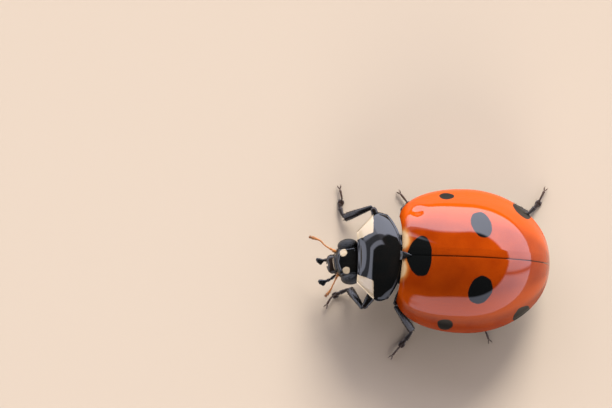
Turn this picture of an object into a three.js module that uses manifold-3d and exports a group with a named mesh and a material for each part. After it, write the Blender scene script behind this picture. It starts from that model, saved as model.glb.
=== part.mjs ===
// Seven-spot ladybird, Coccinella septempunctata, standing on six feet: a still, life-size model.
//
// Millimetres, +Z up. The beetle faces -Y, its left side is +X, and the floor is z = 0.
// The elytra (wing cases) are built about a point on the floor under their widest place.
// The whole group is then shifted so that the middle of its box stands over the origin.

import * as THREE from 'three';
import { mergeVertices } from 'three/addons/utils/BufferGeometryUtils.js';
import Module from 'manifold-3d';

const wasm = await Module();
wasm.setup();

const QUARTER_TURN = Math.PI / 2;
const UP = new THREE.Vector3(0, 0, 1);

// ---------------------------------------------------------------- driving dimensions

const GAP = 0.04; // clearance between touching pieces
const SKIN_THICKNESS = 0.5; // thickness of a wing case
const LIMB_THICKNESS = 0.5; // thickness of a leg part
const FEELER_THICKNESS = 0.46; // thickness of an antenna or palp

const STANCE = { x: -0.339, y: 1.285 }; // where the elytra's point lies from the middle of the box

const elytra = {
  yaw: -2.2, // degrees, positive turns the head end towards the beetle's left
  halfWidth: 2.64,
  frontLength: 2.454, // from the widest place to the shoulders
  rearLength: 3.155, // from the widest place to the apex
  crown: 2.6, // height of the dome over its rim
  rim: 0.95, // height of the rim over the floor
  shoulderLift: 0.12, // rise of the rim at the shoulders
  frontClose: 0.85, // how far along a closing outline the base is cut
  frontDip: 0.74, // how far along a closing profile the base is cut
  shoulderRound: 0.12, // share of the width lost at the shoulder's round corner
  shoulderReach: 0.12, // length over which that corner fades
  baseRecess: 0.25, // how far the base lies back between the shoulders
  frontShare: 0.45, // share of the rows in front of the widest place
  outlinePower: 2.2, // fullness of the outline in front of the widest place
};

const pronotum = {
  at: { x: -0.14, y: -3.175 },
  yaw: 0,
  thickness: 0.4,
  frontHalfWidth: 1.02,
  widening: 0.62, // growth of the half width from the front corners to the hind ones
  wideningShare: 0.8, // share of the length over which it grows
  front: -0.74, // front margin at the middle
  cornerReach: 0.06, // how far the front corners stand forward of it
  rear: 0.9, // hind margin at the middle
  rearSweep: 0.63, // how far the hind corners lie forward of it
  rearPower: 2.2,
  frontCrown: 1.95, // heights over the floor
  rearCrown: 2.68,
  frontEdge: 1.4,
  rearEdge: 1.14,
};

const head = {
  at: { x: 0.02, y: -4.28, z: 1.42 },
  yaw: 5.2,
  noseDown: 16,
  radii: { x: 0.7, y: 0.66, z: 0.44 },
  squareness: 0.8, // power under 1 that fills the corners of the round form
  muzzleNarrowing: 0.26,
  eyeAt: { x: 0.6, y: 0.08, z: 0.07 },
  eyeRadii: { x: 0.2, y: 0.37, z: 0.29 },
  labrumAt: { x: 0.0, y: -0.64, z: -0.02 },
  labrumRadii: { x: 0.34, y: 0.2, z: 0.15 },
};

const trunk = {
  front: -2.17, // front of the thorax, behind the prothorax
  split: -0.45, // seam between thorax and abdomen
  belly: 0.5, // lowest height of the underside
  bellyFullness: 2.5, // how far back the underside stays low
  bellyPower: 0.45, // how quickly it then rises to the rim
  clearance: 2 * GAP, // room between the trunk and the wing cases over it
};

const prothorax = {
  rear: 0.94,
  front: -0.62,
  halfWidth: 1.02,
  neckShare: 0.62, // width of its front end as a share of the rear one
  roundness: 0.14, // how much its middle swells over its ends
  belly: 0.62,
  throat: 0.87, // height of the underside at its front end
  crownShare: 0.9, // share of the room under the shield that it fills
};

const scutellum = { front: -2.23, rear: -1.95, halfWidth: 0.15, depth: 0.42, crown: 2.76 };

const hip = { x: 0.3, y: 0.26, z: 0.24 }; // half sizes of the coxa's mound on the underside

// Points are in the body's frame: coxa and knee, then the ankle, then the foot's path on the floor.
const legs = {
  front_left: {
    coxa: [0.35, -2.83, 0.62],
    knee: [1.72, -3.73, 0.86],
    ankle: [0.94, -4.23, 0.3],
    foot: [[1.14, -4.7], [1.28, -4.91], [1.54, -5.07]],
  },
  front_right: {
    coxa: [-0.5, -2.83, 0.62],
    knee: [-2.04, -3.37, 0.86],
    ankle: [-1.69, -4.42, 0.3],
    foot: [[-2.11, -4.58], [-2.4, -4.5], [-2.8, -4.58]],
  },
  middle_left: {
    coxa: [0.6, -1.93, 0.52],
    knee: [1.61, -2.55, 0.86],
    ankle: [2.5, -1.9, 0.3],
    foot: [[2.76, -2.1], [3.1, -2.38], [3.43, -2.66]],
  },
  middle_right: {
    coxa: [-0.6, -1.93, 0.52],
    knee: [-2.05, -2.25, 0.86],
    ankle: [-1.72, -1.66, 0.3],
    foot: [[-1.95, -1.84], [-2.3, -2.1], [-2.62, -2.35]],
  },
  hind_left: {
    coxa: [0.85, -0.13, 0.48],
    knee: [2.5, -0.4, 0.74],
    ankle: [1.82, 0.52, 0.3],
    foot: [[2.05, 0.6], [2.45, 0.78], [2.84, 0.94]],
  },
  hind_right: {
    coxa: [-0.85, -0.13, 0.48],
    knee: [-2.18, 1.33, 0.74],
    ankle: [-1.64, 2.36, 0.3],
    foot: [[-2.18, 2.73], [-2.42, 2.86], [-2.73, 3.02]],
  },
};

const antennae = {
  left: [[0.5, -4.7, 1.38], [0.88, -4.84, 1.36], [1.1, -4.95, 1.28], [1.29, -5.12, 1.15]],
  right: [[-0.34, -4.78, 1.4], [-0.56, -5.12, 1.42], [-0.76, -5.32, 1.4], [-0.9, -5.71, 1.3]],
};

const palps = {
  left: [[0.36, -4.6, 0.98], [0.62, -4.91, 0.97], [0.7, -5.09, 0.95], [0.83, -5.41, 0.9]],
  right: [[-0.1, -4.62, 0.98], [-0.1, -4.9, 0.98], [-0.06, -5.2, 0.96], [0, -5.5, 0.95]],
};

// ---------------------------------------------------------------- materials

const finish = {
  orange: new THREE.MeshStandardMaterial({ color: 0xc8380c, roughness: 0.12, metalness: 0 }),
  black: new THREE.MeshStandardMaterial({ color: 0x0d0e10, roughness: 0.18, metalness: 0 }),
  eye: new THREE.MeshStandardMaterial({ color: 0x111114, roughness: 0.1, metalness: 0 }),
  leg: new THREE.MeshStandardMaterial({ color: 0x1a1715, roughness: 0.35, metalness: 0 }),
  antenna: new THREE.MeshStandardMaterial({ color: 0xb5672a, roughness: 0.4, metalness: 0 }),
};

// ---------------------------------------------------------------- solids

/** A copy of the geometry with only positions, its shared vertices merged and no empty triangle. */
function welded(geometry) {
  const bare = geometry.clone();
  bare.deleteAttribute('normal');
  bare.deleteAttribute('uv');
  const merged = mergeVertices(bare, 1e-5);
  const index = merged.index.array;
  const kept = [];
  for (let i = 0; i < index.length; i += 3) {
    const [a, b, c] = [index[i], index[i + 1], index[i + 2]];
    if (a !== b && b !== c && c !== a) kept.push(a, b, c);
  }
  merged.setIndex(kept);
  return merged;
}

/** Six times the signed volume that an indexed geometry encloses. */
function signedVolume(geometry) {
  const [a, b, c] = [new THREE.Vector3(), new THREE.Vector3(), new THREE.Vector3()];
  const { position } = geometry.attributes;
  const index = geometry.index.array;
  let volume = 0;
  for (let i = 0; i < index.length; i += 3) {
    a.fromBufferAttribute(position, index[i]);
    b.fromBufferAttribute(position, index[i + 1]);
    c.fromBufferAttribute(position, index[i + 2]);
    volume += a.dot(b.cross(c));
  }
  return volume;
}

/** The closed geometry as a solid whose faces point out. */
function solidOf(geometry) {
  const closed = welded(geometry);
  const triangles = Uint32Array.from(closed.index.array);
  if (signedVolume(closed) < 0) {
    for (let i = 0; i < triangles.length; i += 3) {
      [triangles[i], triangles[i + 1]] = [triangles[i + 1], triangles[i]];
    }
  }
  const mesh = new wasm.Mesh({
    numProp: 3,
    vertProperties: Float32Array.from(closed.attributes.position.array),
    triVerts: triangles,
  });
  return new wasm.Manifold(mesh);
}

/** The biggest body of a solid: a cut can leave chips beside it. */
function mainBody(solid) {
  const bodies = solid.decompose();
  return bodies.reduce((best, body) => (body.volume() > best.volume() ? body : best));
}

/** The solid less each cutter, as one body. */
function cutBy(solid, ...cutters) {
  const left = cutters.reduce((rest, cutter) => rest.subtract(cutter), solid);
  return mainBody(left);
}

/** A named mesh of the solid in the given finish. */
function meshOf(name, solid, material) {
  const { vertProperties, triVerts, numProp } = solid.getMesh();
  const positions = [];
  for (let i = 0; i < vertProperties.length; i += numProp) {
    positions.push(vertProperties[i], vertProperties[i + 1], vertProperties[i + 2]);
  }
  const geometry = new THREE.BufferGeometry();
  geometry.setAttribute('position', new THREE.Float32BufferAttribute(positions, 3));
  geometry.setIndex(Array.from(triVerts));
  geometry.computeVertexNormals();
  const mesh = new THREE.Mesh(geometry, material);
  mesh.name = name;
  return mesh;
}

/** The solid as it lies in another group's frame. */
function seenFrom(solid, from, to) {
  from.updateWorldMatrix(true, false);
  to.updateWorldMatrix(true, false);
  const step = to.matrixWorld.clone().invert().multiply(from.matrixWorld);
  return solid.transform(step.elements);
}

/** The geometry with each vertex moved by a function of its place. */
function deformed(geometry, place) {
  const { position } = geometry.attributes;
  const point = new THREE.Vector3();
  for (let i = 0; i < position.count; i += 1) {
    point.fromBufferAttribute(position, i);
    position.setXYZ(i, ...place(point));
  }
  return geometry;
}

/** A curved plate: surface(u, v, depth) places a sheet's points, depth 0 inside and 1 outside. */
function plate(columns, rows, surface) {
  const block = new THREE.BoxGeometry(1, 1, 1, columns, rows, 1);
  return solidOf(deformed(block, (p) => surface(p.x + 0.5, p.y + 0.5, p.z + 0.5)));
}

/** A barrel along Y: section(v) gives y, the half width, the level, and the rise and drop from it. */
function barrel(sides, rings, section) {
  const drum = new THREE.CylinderGeometry(1, 1, 1, sides, rings);
  return solidOf(deformed(drum, (p) => {
    const { y, halfWidth, level, rise, drop } = section(p.y + 0.5);
    return [p.x * halfWidth, y, level + p.z * (p.z > 0 ? rise : drop)];
  }));
}

/** A bump: a sphere stretched to three radii about a centre. */
function bump(at, radii, sides, rings) {
  const ball = new THREE.SphereGeometry(1, sides, rings);
  return solidOf(deformed(ball, (p) => [
    at.x + p.x * radii.x,
    at.y + p.y * radii.y,
    at.z + p.z * radii.z,
  ]));
}

/** A limb: a round-ended rod along a curve, whose half thickness varies along it. */
function limb(points, halfThickness, { sides = 8, rings = 8, sole = false } = {}) {
  const curve = new THREE.CatmullRomCurve3(points.map((p) => new THREE.Vector3(...p)));
  const length = curve.getLength();
  const turn = Math.PI / sides;
  const rod = new THREE.CylinderGeometry(1, 1, 1, sides, rings);
  return solidOf(deformed(rod, (p) => {
    const t = (1 - Math.cos((p.y + 0.5) * Math.PI)) / 2;
    const half = halfThickness(t);
    const fromEnd = Math.min(t, 1 - t) * length;
    const inset = Math.max(0, 1 - fromEnd / half);
    const round = half * Math.sqrt(1 - inset * inset);
    const tangent = curve.getTangentAt(t);
    const side = new THREE.Vector3().crossVectors(tangent, UP).normalize();
    const lift = new THREE.Vector3().crossVectors(side, tangent);
    const across = p.x * Math.cos(turn) - p.z * Math.sin(turn);
    const above = p.x * Math.sin(turn) + p.z * Math.cos(turn);
    const place = curve.getPointAt(t);
    place.addScaledVector(side, across * round).addScaledVector(lift, above * round);
    if (sole) place.z = Math.max(place.z, 0);
    return place.toArray();
  }));
}

const degrees = THREE.MathUtils.degToRad;
const mix = THREE.MathUtils.lerp;

// ---------------------------------------------------------------- wing cases and trunk

/** Half width of a wing-case outline at station y, inset from the outer one. */
function outlineHalfWidth(y, inset) {
  const wide = elytra.halfWidth - inset;
  if (y >= 0) {
    const share = Math.min(1, y / (elytra.rearLength - inset));
    return wide * Math.sqrt(1 - share * share);
  }
  const share = (elytra.frontClose * -y) / elytra.frontLength;
  const corner = elytra.shoulderRound * Math.exp(-(y + elytra.frontLength) / elytra.shoulderReach);
  return wide * Math.cbrt(1 - share ** elytra.outlinePower) * (1 - corner);
}

/** Height of the wing cases' crown over their rim at station y, inset from the outer one. */
function crownHeight(y, inset) {
  const share = y >= 0
    ? Math.min(1, y / (elytra.rearLength - inset))
    : (elytra.frontDip * -y) / elytra.frontLength;
  return (elytra.crown - inset) * Math.sqrt(1 - share * share);
}

/** Height of the rim over the floor at station y. */
function rimHeight(y) {
  const share = Math.max(0, -y / elytra.frontLength);
  return elytra.rim + elytra.shoulderLift * share ** 3;
}

/** One wing case: side is 1 on the beetle's left and -1 on its right, grow swells it. */
function wingCase(side, grow = 0) {
  return plate(12, 18, (u, v, depth) => {
    const inset = mix(SKIN_THICKNESS + grow, -grow, depth);
    const arch = u * QUARTER_TURN;
    const ahead = Math.max(0, 1 - v / elytra.frontShare);
    const behind = Math.max(0, (v - elytra.frontShare) / (1 - elytra.frontShare));
    const station = behind > 0
      ? (elytra.rearLength - inset) * Math.sin(behind * QUARTER_TURN)
      : -elytra.frontLength * ahead;
    const seam = GAP / 2 - grow;
    const halfWidth = Math.max(outlineHalfWidth(station, inset), seam);
    const x = seam + (halfWidth - seam) * Math.cos(arch);
    const recess = (elytra.baseRecess - grow) * Math.sin(arch) ** 2 * ahead * ahead;
    const z = rimHeight(station) - grow + (crownHeight(station, inset) + grow) * Math.sin(arch);
    return [side * x, station + recess, z];
  });
}

/** The trunk under the wing cases between two stations, swollen by grow. */
function trunkLength(from, to, rings, grow = 0) {
  const inset = SKIN_THICKNESS + trunk.clearance - grow;
  const last = elytra.rearLength - inset;
  return barrel(20, rings, (v) => {
    const bend = to >= last ? Math.sin(v * QUARTER_TURN) : v;
    const y = Math.min(mix(from, to, bend), last - 0.001);
    const rearShare = Math.max(0, y / last);
    const closing = (1 - rearShare ** trunk.bellyFullness) ** trunk.bellyPower;
    return {
      y,
      halfWidth: outlineHalfWidth(y, inset),
      level: rimHeight(y),
      rise: crownHeight(y, inset),
      drop: (elytra.rim - trunk.belly) * closing + grow,
    };
  });
}

/** The scutellum: a small triangle between the wing cases' bases, swollen by grow. */
function scutellumWedge(grow = 0) {
  const outline = new THREE.Shape();
  outline.moveTo(-scutellum.halfWidth - grow, scutellum.front - grow);
  outline.lineTo(scutellum.halfWidth + grow, scutellum.front - grow);
  outline.lineTo(0, scutellum.rear + 2 * grow);
  outline.closePath();
  const wedge = new THREE.ExtrudeGeometry(outline, {
    depth: scutellum.depth + 2 * grow,
    bevelEnabled: false,
  });
  wedge.translate(0, 0, scutellum.crown - scutellum.depth - grow);
  return solidOf(wedge);
}

// ---------------------------------------------------------------- pronotum and prothorax

/** The pronotum's shield, swollen by grow. */
function shield(grow = 0) {
  return plate(18, 9, (u, v, depth) => {
    const inset = mix(pronotum.thickness + grow, -grow, depth);
    const arch = u * Math.PI;
    const widened = Math.sin(Math.min(1, v / pronotum.wideningShare) * QUARTER_TURN);
    const halfWidth = pronotum.frontHalfWidth + pronotum.widening * widened - inset;
    const x = halfWidth * Math.cos(arch);
    const share = Math.min(1, Math.abs(x) / (pronotum.frontHalfWidth + pronotum.widening));
    const rear = pronotum.rear - pronotum.rearSweep * share ** pronotum.rearPower + grow;
    const front = pronotum.front - pronotum.cornerReach * Math.cos(arch) ** 2 - grow;
    const edge = mix(pronotum.frontEdge, pronotum.rearEdge, v) - grow;
    const crown = mix(pronotum.frontCrown, pronotum.rearCrown, Math.sin(v * QUARTER_TURN)) - inset;
    return [x, mix(front, rear, v), edge + (crown - edge) * Math.sin(arch)];
  });
}

/** The prothorax under the shield, which carries the front legs. */
function prothoraxBody(grow = 0) {
  return barrel(16, 5, (v) => {
    const round = 1 - prothorax.roundness * (1 - Math.sin(v * Math.PI));
    const under = pronotum.thickness + GAP;
    const level = mix(pronotum.frontEdge, pronotum.rearEdge, v);
    const crown = mix(pronotum.frontCrown, pronotum.rearCrown, Math.sin(v * QUARTER_TURN));
    return {
      y: mix(prothorax.front - grow, prothorax.rear + grow, v),
      halfWidth: (prothorax.halfWidth + grow) * round * mix(prothorax.neckShare, 1, Math.sqrt(v)),
      level,
      rise: (crown - level - under) * prothorax.crownShare,
      drop: level - mix(prothorax.throat, prothorax.belly, Math.sqrt(v)) + grow,
    };
  });
}

// ---------------------------------------------------------------- head

/** The head capsule, narrower at its muzzle. */
function headCapsule(grow = 0) {
  const ball = new THREE.SphereGeometry(1, 20, 14);
  const full = (share) => Math.sign(share) * Math.abs(share) ** head.squareness;
  return solidOf(deformed(ball, (p) => {
    const ahead = Math.max(0, -p.y);
    const narrow = 1 - head.muzzleNarrowing * ahead ** 2;
    return [
      full(p.x) * (head.radii.x + grow) * narrow,
      p.y * (head.radii.y + grow),
      full(p.z) * (head.radii.z + grow),
    ];
  }));
}

const swollen = (radii, grow) => ({ x: radii.x + grow, y: radii.y + grow, z: radii.z + grow });

/** One eye in the head's frame. */
function eyeball(side, grow = 0) {
  return bump({ ...head.eyeAt, x: side * head.eyeAt.x }, swollen(head.eyeRadii, grow), 12, 8);
}

// ---------------------------------------------------------------- limbs

const CLUB_EXTRA = 0.14; // how much thicker an antenna's club is than its shaft
const KNEE_TAPER = 0.06; // share of its thickness that a femur loses towards the knee
const TIBIA_SHARE = 0.96; // thickness of a tibia as a share of its femur's
const SOLE_DEPTH = 0.02; // depth pressed flat under a foot

const clubbed = (t) => {
  const shaft = (FEELER_THICKNESS / 2) * (1 - CLUB_EXTRA);
  return shaft * (1 + CLUB_EXTRA * THREE.MathUtils.smoothstep(t, 0.6, 0.9));
};
const plain = (half) => () => half;
const tapered = (t) => (LIMB_THICKNESS / 2) * (1 - KNEE_TAPER * t);

/** The foot's centre line: flat on the floor, its last point one half thickness short of the tip. */
function footPath(ankle, foot) {
  const half = LIMB_THICKNESS / 2;
  const level = half * Math.cos(Math.PI / 8) - SOLE_DEPTH;
  const steps = [[ankle[0], ankle[1]], ...foot];
  return steps.map(([x, y]) => [x, y, level]);
}

/** Femur, tibia and tarsus of one leg, each kept clear of the pieces it meets. */
function legSolids({ coxa, knee, ankle, foot }, neighbours) {
  const half = LIMB_THICKNESS / 2;
  const femurPath = [coxa, knee];
  const tibiaPath = [knee, ankle];
  const tarsusPath = footPath(ankle, foot);
  const tibiaHalf = half * TIBIA_SHARE;
  const mound = bump({ x: coxa[0], y: coxa[1], z: coxa[2] }, hip, 10, 6);
  const femur = cutBy(limb(femurPath, tapered, { rings: 6 }).add(mound), ...neighbours);
  const femurSpace = limb(femurPath, (t) => tapered(t) + GAP, { rings: 6 });
  const wholeTibia = limb(tibiaPath, plain(tibiaHalf), { rings: 6 });
  const tibiaSpace = limb(tibiaPath, plain(tibiaHalf + GAP), { rings: 6 });
  const tibia = cutBy(wholeTibia, femurSpace, ...neighbours);
  const wholeTarsus = limb(tarsusPath, plain(half), { rings: 10, sole: true });
  const tarsus = cutBy(wholeTarsus, tibiaSpace, femurSpace, ...neighbours);
  return { femur, tibia, tarsus };
}

// ---------------------------------------------------------------- assembly

const ladybird = new THREE.Group();
ladybird.position.set(STANCE.x, STANCE.y, 0);

const wings = new THREE.Group();
wings.rotation.z = degrees(elytra.yaw);
ladybird.add(wings);

const shieldFrame = new THREE.Group();
shieldFrame.position.set(pronotum.at.x, pronotum.at.y, 0);
shieldFrame.rotation.z = degrees(pronotum.yaw);
ladybird.add(shieldFrame);

const headFrame = new THREE.Group();
headFrame.position.set(head.at.x, head.at.y, head.at.z);
headFrame.rotation.set(degrees(head.noseDown), 0, degrees(head.yaw), 'ZYX');
ladybird.add(headFrame);

const scutellumSpace = scutellumWedge(GAP);
const trunkEnd = elytra.rearLength;

wings.add(
  meshOf('elytron_left', cutBy(wingCase(1), scutellumSpace), finish.orange),
  meshOf('elytron_right', cutBy(wingCase(-1), scutellumSpace), finish.orange),
  meshOf('scutellum', scutellumWedge(), finish.black),
);

const thoraxFree = trunkLength(trunk.front, trunk.split - GAP / 2, 6);
const thorax = cutBy(thoraxFree, scutellumSpace);
const abdomen = trunkLength(trunk.split + GAP / 2, trunkEnd, 12);
wings.add(meshOf('thorax', thorax, finish.black), meshOf('abdomen', abdomen, finish.black));

shieldFrame.add(
  meshOf('pronotum', shield(), finish.black),
  meshOf('prothorax', prothoraxBody(), finish.black),
);

const shieldSpace = seenFrom(shield(GAP), shieldFrame, headFrame);
const prothoraxSpace = seenFrom(prothoraxBody(GAP), shieldFrame, headFrame);
const eyeSpaces = [eyeball(1, GAP), eyeball(-1, GAP)];
const skull = cutBy(headCapsule(), ...eyeSpaces, shieldSpace, prothoraxSpace);
const skullSpace = headCapsule(GAP);
const labrum = bump(head.labrumAt, head.labrumRadii, 12, 8);
const labrumSpace = bump(head.labrumAt, swollen(head.labrumRadii, GAP), 12, 8);

headFrame.add(
  meshOf('head', skull, finish.black),
  meshOf('labrum', cutBy(labrum, skullSpace), finish.black),
);

const onHead = [skullSpace, labrumSpace, ...eyeSpaces];
const headNeighbours = onHead.map((space) => seenFrom(space, headFrame, ladybird));
const feelerSpaces = [];
for (const [name, side] of [['left', 1], ['right', -1]]) {
  const eye = cutBy(eyeball(side), shieldSpace, prothoraxSpace);
  headFrame.add(meshOf(`eye_${name}`, eye, finish.eye));

  const antenna = cutBy(limb(antennae[name], clubbed, { rings: 9 }), ...headNeighbours);
  ladybird.add(meshOf(`antenna_${name}`, antenna, finish.antenna));
  const antennaSpace = limb(antennae[name], (t) => clubbed(t) + GAP, { rings: 9 });

  const palpHalf = FEELER_THICKNESS / 2;
  const palpRod = limb(palps[name], plain(palpHalf), { rings: 8 });
  const palp = cutBy(palpRod, ...headNeighbours, antennaSpace, ...feelerSpaces);
  ladybird.add(meshOf(`palp_${name}`, palp, finish.leg));
  feelerSpaces.push(antennaSpace, limb(palps[name], plain(palpHalf + GAP), { rings: 8 }));
}

const legNeighbours = [
  seenFrom(wingCase(1, GAP), wings, ladybird),
  seenFrom(wingCase(-1, GAP), wings, ladybird),
  seenFrom(trunkLength(trunk.front, trunkEnd, 16, GAP), wings, ladybird),
  seenFrom(shield(GAP), shieldFrame, ladybird),
  seenFrom(prothoraxBody(GAP), shieldFrame, ladybird),
  ...headNeighbours,
  ...feelerSpaces,
];

for (const [name, leg] of Object.entries(legs)) {
  const { femur, tibia, tarsus } = legSolids(leg, legNeighbours);
  ladybird.add(
    meshOf(`femur_${name}`, femur, finish.leg),
    meshOf(`tibia_${name}`, tibia, finish.leg),
    meshOf(`tarsus_${name}`, tarsus, finish.leg),
  );
}

export default ladybird;
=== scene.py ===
"""Seven-spot ladybird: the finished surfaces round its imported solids, with the studio and the camera.

Shapes are worked out in millimetres in the beetle's own frame: it faces -Y, its left side is +X and the
floor is z = 0. The wing cases, the pronotum and the head each have a seat, a frame of their own within it.
Every finished mesh is then placed in the row's frame, in metres, with its object left at the origin.
"""

import functools
import logging
import math
from dataclasses import dataclass, field
from enum import Enum
from typing import ClassVar, Sequence

import bmesh
import bpy
import numpy as np
from bpy.types import Material, Mesh, Node, NodeSocket, NodeTree
from mathutils import Matrix, Vector


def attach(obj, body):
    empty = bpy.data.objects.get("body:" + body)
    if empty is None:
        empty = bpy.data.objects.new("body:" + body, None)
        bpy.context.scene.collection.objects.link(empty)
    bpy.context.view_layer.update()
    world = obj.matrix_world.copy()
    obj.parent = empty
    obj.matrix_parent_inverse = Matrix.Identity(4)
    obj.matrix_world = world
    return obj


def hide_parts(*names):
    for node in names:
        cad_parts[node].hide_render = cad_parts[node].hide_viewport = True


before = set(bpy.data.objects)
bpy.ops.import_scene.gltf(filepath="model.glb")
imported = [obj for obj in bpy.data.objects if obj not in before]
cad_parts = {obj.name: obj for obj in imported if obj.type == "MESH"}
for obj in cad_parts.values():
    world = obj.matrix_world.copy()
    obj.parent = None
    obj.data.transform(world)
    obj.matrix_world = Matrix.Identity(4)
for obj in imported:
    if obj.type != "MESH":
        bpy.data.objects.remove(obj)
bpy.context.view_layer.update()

Array = np.ndarray
Triple = tuple[float, float, float]
Pair = tuple[float, float]

MM = 0.001
STANCE = Vector((-0.339, 1.285, 0.0))  # where the beetle's own frame lies in the row's, in mm
QUARTER = math.pi / 2
WELD = 2e-4  # mm, under which two points are one
SHARP_FROM = math.radians(50)  # an edge steeper than this is drawn sharp
UP = np.array((0.0, 0.0, 1.0))
THIN = 1e-4  # half thickness in mm of a point, where a thorn or a limb ends

log = logging.getLogger("ladybird")


# ---- sums


def mix(low: float | Array, high: float | Array, share: float | Array) -> Array:
    """The value that lies the given share of the way from low to high."""
    return low + (high - low) * share


def smooth(share: float | Array) -> Array:
    """A share from 0 to 1 that starts and ends gently, clamped."""
    held = np.clip(share, 0.0, 1.0)
    return held * held * (3.0 - 2.0 * held)


def bell(distance: Array, width: float) -> Array:
    """A bell curve of height 1 that falls to a third at the given width."""
    return np.exp(-((distance / width) ** 2))


def rounded(share: Array) -> Array:
    """A quarter circle's rise from 0 to 1, for an edge that rounds off."""
    held = np.clip(share, 0.0, 1.0)
    return np.sqrt(1.0 - (1.0 - held) ** 2)


def unit(rows: Array) -> Array:
    """Vectors scaled to length 1 along the last axis."""
    return rows / np.maximum(np.linalg.norm(rows, axis=-1, keepdims=True), 1e-12)


def beside(way: Array) -> Array:
    """The level directions to the right of one or more ways."""
    return unit(np.cross(way, UP))


def steps(count: int) -> Array:
    """Evenly spaced shares from 0 to 1."""
    return np.linspace(0.0, 1.0, count)


def turns(count: int) -> Array:
    """Evenly spaced angles round a full turn."""
    return np.linspace(0.0, 2.0 * math.pi, count, endpoint=False)


def axes(points: Array) -> tuple[Array, ...]:
    """The x, the y and the z of points."""
    return tuple(points[..., axis] for axis in range(3))


def filled(values: Array, power: float) -> Array:
    """Values from -1 to 1 raised to a power, signs kept: a power under 1 squares a round section."""
    return np.sign(values) * np.abs(values) ** power


def sampled(line: Array, run: Array, stations: Array) -> Array:
    """Points of a line at some stations, where run says how far along it each of its own points is."""
    return np.stack([np.interp(stations, run, line[:, axis]) for axis in range(3)], axis=1)


@dataclass(frozen=True)
class Ridge:
    """A raised line on a surface, or a furrow where its height is under 0.

    Attributes:
        height: Its height in mm.
        width: How far from its middle it has fallen to a third.
        at: The distance at which its middle lies.
    """

    height: float
    width: float
    at: float = 0.0

    def over(self, distance: Array) -> Array:
        """Its height at a distance."""
        return self.height * bell(distance - self.at, self.width)


def through(points: Sequence[Triple | Array], count: int) -> Array:
    """A smooth path through a few points.

    Args:
        points: The points, in order.
        count: How many places the path has.

    Returns:
        The places as rows of x, y, z, evenly spaced along the path.
    """
    knots = np.array(points, float)
    padded = np.vstack([2 * knots[0] - knots[1], knots, 2 * knots[-1] - knots[-2]])
    fine = []
    for i in range(len(knots) - 1):
        before, start, end, after = padded[i : i + 4]
        t = np.linspace(0.0, 1.0, 24, endpoint=i == len(knots) - 2)[:, None]
        bend = 2 * before - 5 * start + 4 * end - after
        swing = -before + 3 * start - 3 * end + after
        fine.append(start + 0.5 * t * (end - before + t * (bend + t * swing)))
    line = np.vstack(fine)
    run = np.concatenate([[0.0], np.cumsum(np.linalg.norm(np.diff(line, axis=0), axis=1))])
    return sampled(line, run, np.linspace(0.0, run[-1], count))


# ---- seats


@dataclass(frozen=True)
class Seat:
    """A frame of its own for a part of the body.

    Attributes:
        at: Its origin in the beetle's frame, in mm.
        yaw: Degrees about the vertical.
        nose_down: Degrees that its front is lowered.
    """

    at: Triple = (0.0, 0.0, 0.0)
    yaw: float = 0.0
    nose_down: float = 0.0

    def matrix(self) -> Matrix:
        """From this seat to the beetle's frame, in mm."""
        turn = Matrix.Rotation(math.radians(self.yaw), 4, "Z")
        dip = Matrix.Rotation(math.radians(self.nose_down), 4, "X")
        return Matrix.Translation(self.at) @ turn @ dip

    def to_row(self) -> Matrix:
        """From this seat, in mm, to the row's frame, in metres."""
        return Matrix.Scale(MM, 4) @ Matrix.Translation(STANCE) @ self.matrix()


BODY_SEAT = Seat()
WING_SEAT = Seat(yaw=-2.2)
SHIELD_SEAT = Seat(at=(-0.09, -3.175, 0.0))
HEAD_SEAT = Seat(at=(0.04, -4.28, 1.42), yaw=6.0, nose_down=16.0)


# ---- nodes


class Num:
    """A number that varies over a surface: a socket of a node tree, whose arithmetic adds nodes."""

    def __init__(self, tree: NodeTree, socket: NodeSocket) -> None:
        """Holds a socket of the tree."""
        self.tree = tree
        self.socket = socket

    def math(self, operation: str, *others: "Num | float") -> "Num":
        """Feeds this number to a Math node.

        Args:
            operation: The node's operation.
            others: Its other inputs.

        Returns:
            The node's result.
        """
        node = self.tree.nodes.new("ShaderNodeMath")
        node.operation = operation
        for slot, value in zip(node.inputs, (self, *others)):
            feed(self.tree, slot, value)
        return Num(self.tree, node.outputs[0])

    def __add__(self, other: "Num | float") -> "Num":
        """The sum."""
        return self.math("ADD", other)

    def __sub__(self, other: "Num | float") -> "Num":
        """The difference."""
        return self.math("SUBTRACT", other)

    def __mul__(self, other: "Num | float") -> "Num":
        """The product."""
        return self.math("MULTIPLY", other)

    def __truediv__(self, other: "Num | float") -> "Num":
        """The quotient."""
        return self.math("DIVIDE", other)

    def __pow__(self, other: "Num | float") -> "Num":
        """The power."""
        return self.math("POWER", other)

    def __neg__(self) -> "Num":
        """The number with its sign turned."""
        return self.math("MULTIPLY", -1.0)

    def from_one(self) -> "Num":
        """One less this number."""
        return -self + 1.0

    def least(self, other: "Num | float") -> "Num":
        """The smaller of the two."""
        return self.math("MINIMUM", other)

    def most(self, other: "Num | float") -> "Num":
        """The larger of the two."""
        return self.math("MAXIMUM", other)

    def size(self) -> "Num":
        """The number without its sign."""
        return self.math("ABSOLUTE")

    def root(self) -> "Num":
        """The square root, 0 below 0."""
        return self.most(0.0).math("SQRT")

    def ease(self, low: float, high: float) -> "Num":
        """A smooth step.

        Args:
            low: Where it is 0.
            high: Where it is 1, which may be the lower of the two.

        Returns:
            The step's value, from 0 to 1.
        """
        start, end = sorted((low, high))
        node = add_node(self.tree, "ShaderNodeMapRange", Value=self, From_Min=start, From_Max=end)
        node.interpolation_type = "SMOOTHSTEP"
        step = Num(self.tree, node.outputs["Result"])
        return step.from_one() if low > high else step

    def bell(self, width: float) -> "Num":
        """A bell curve of height 1 round 0, a third at the given width."""
        scaled = self * (1.0 / width)
        return (-(scaled * scaled)).math("EXPONENT")


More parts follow.
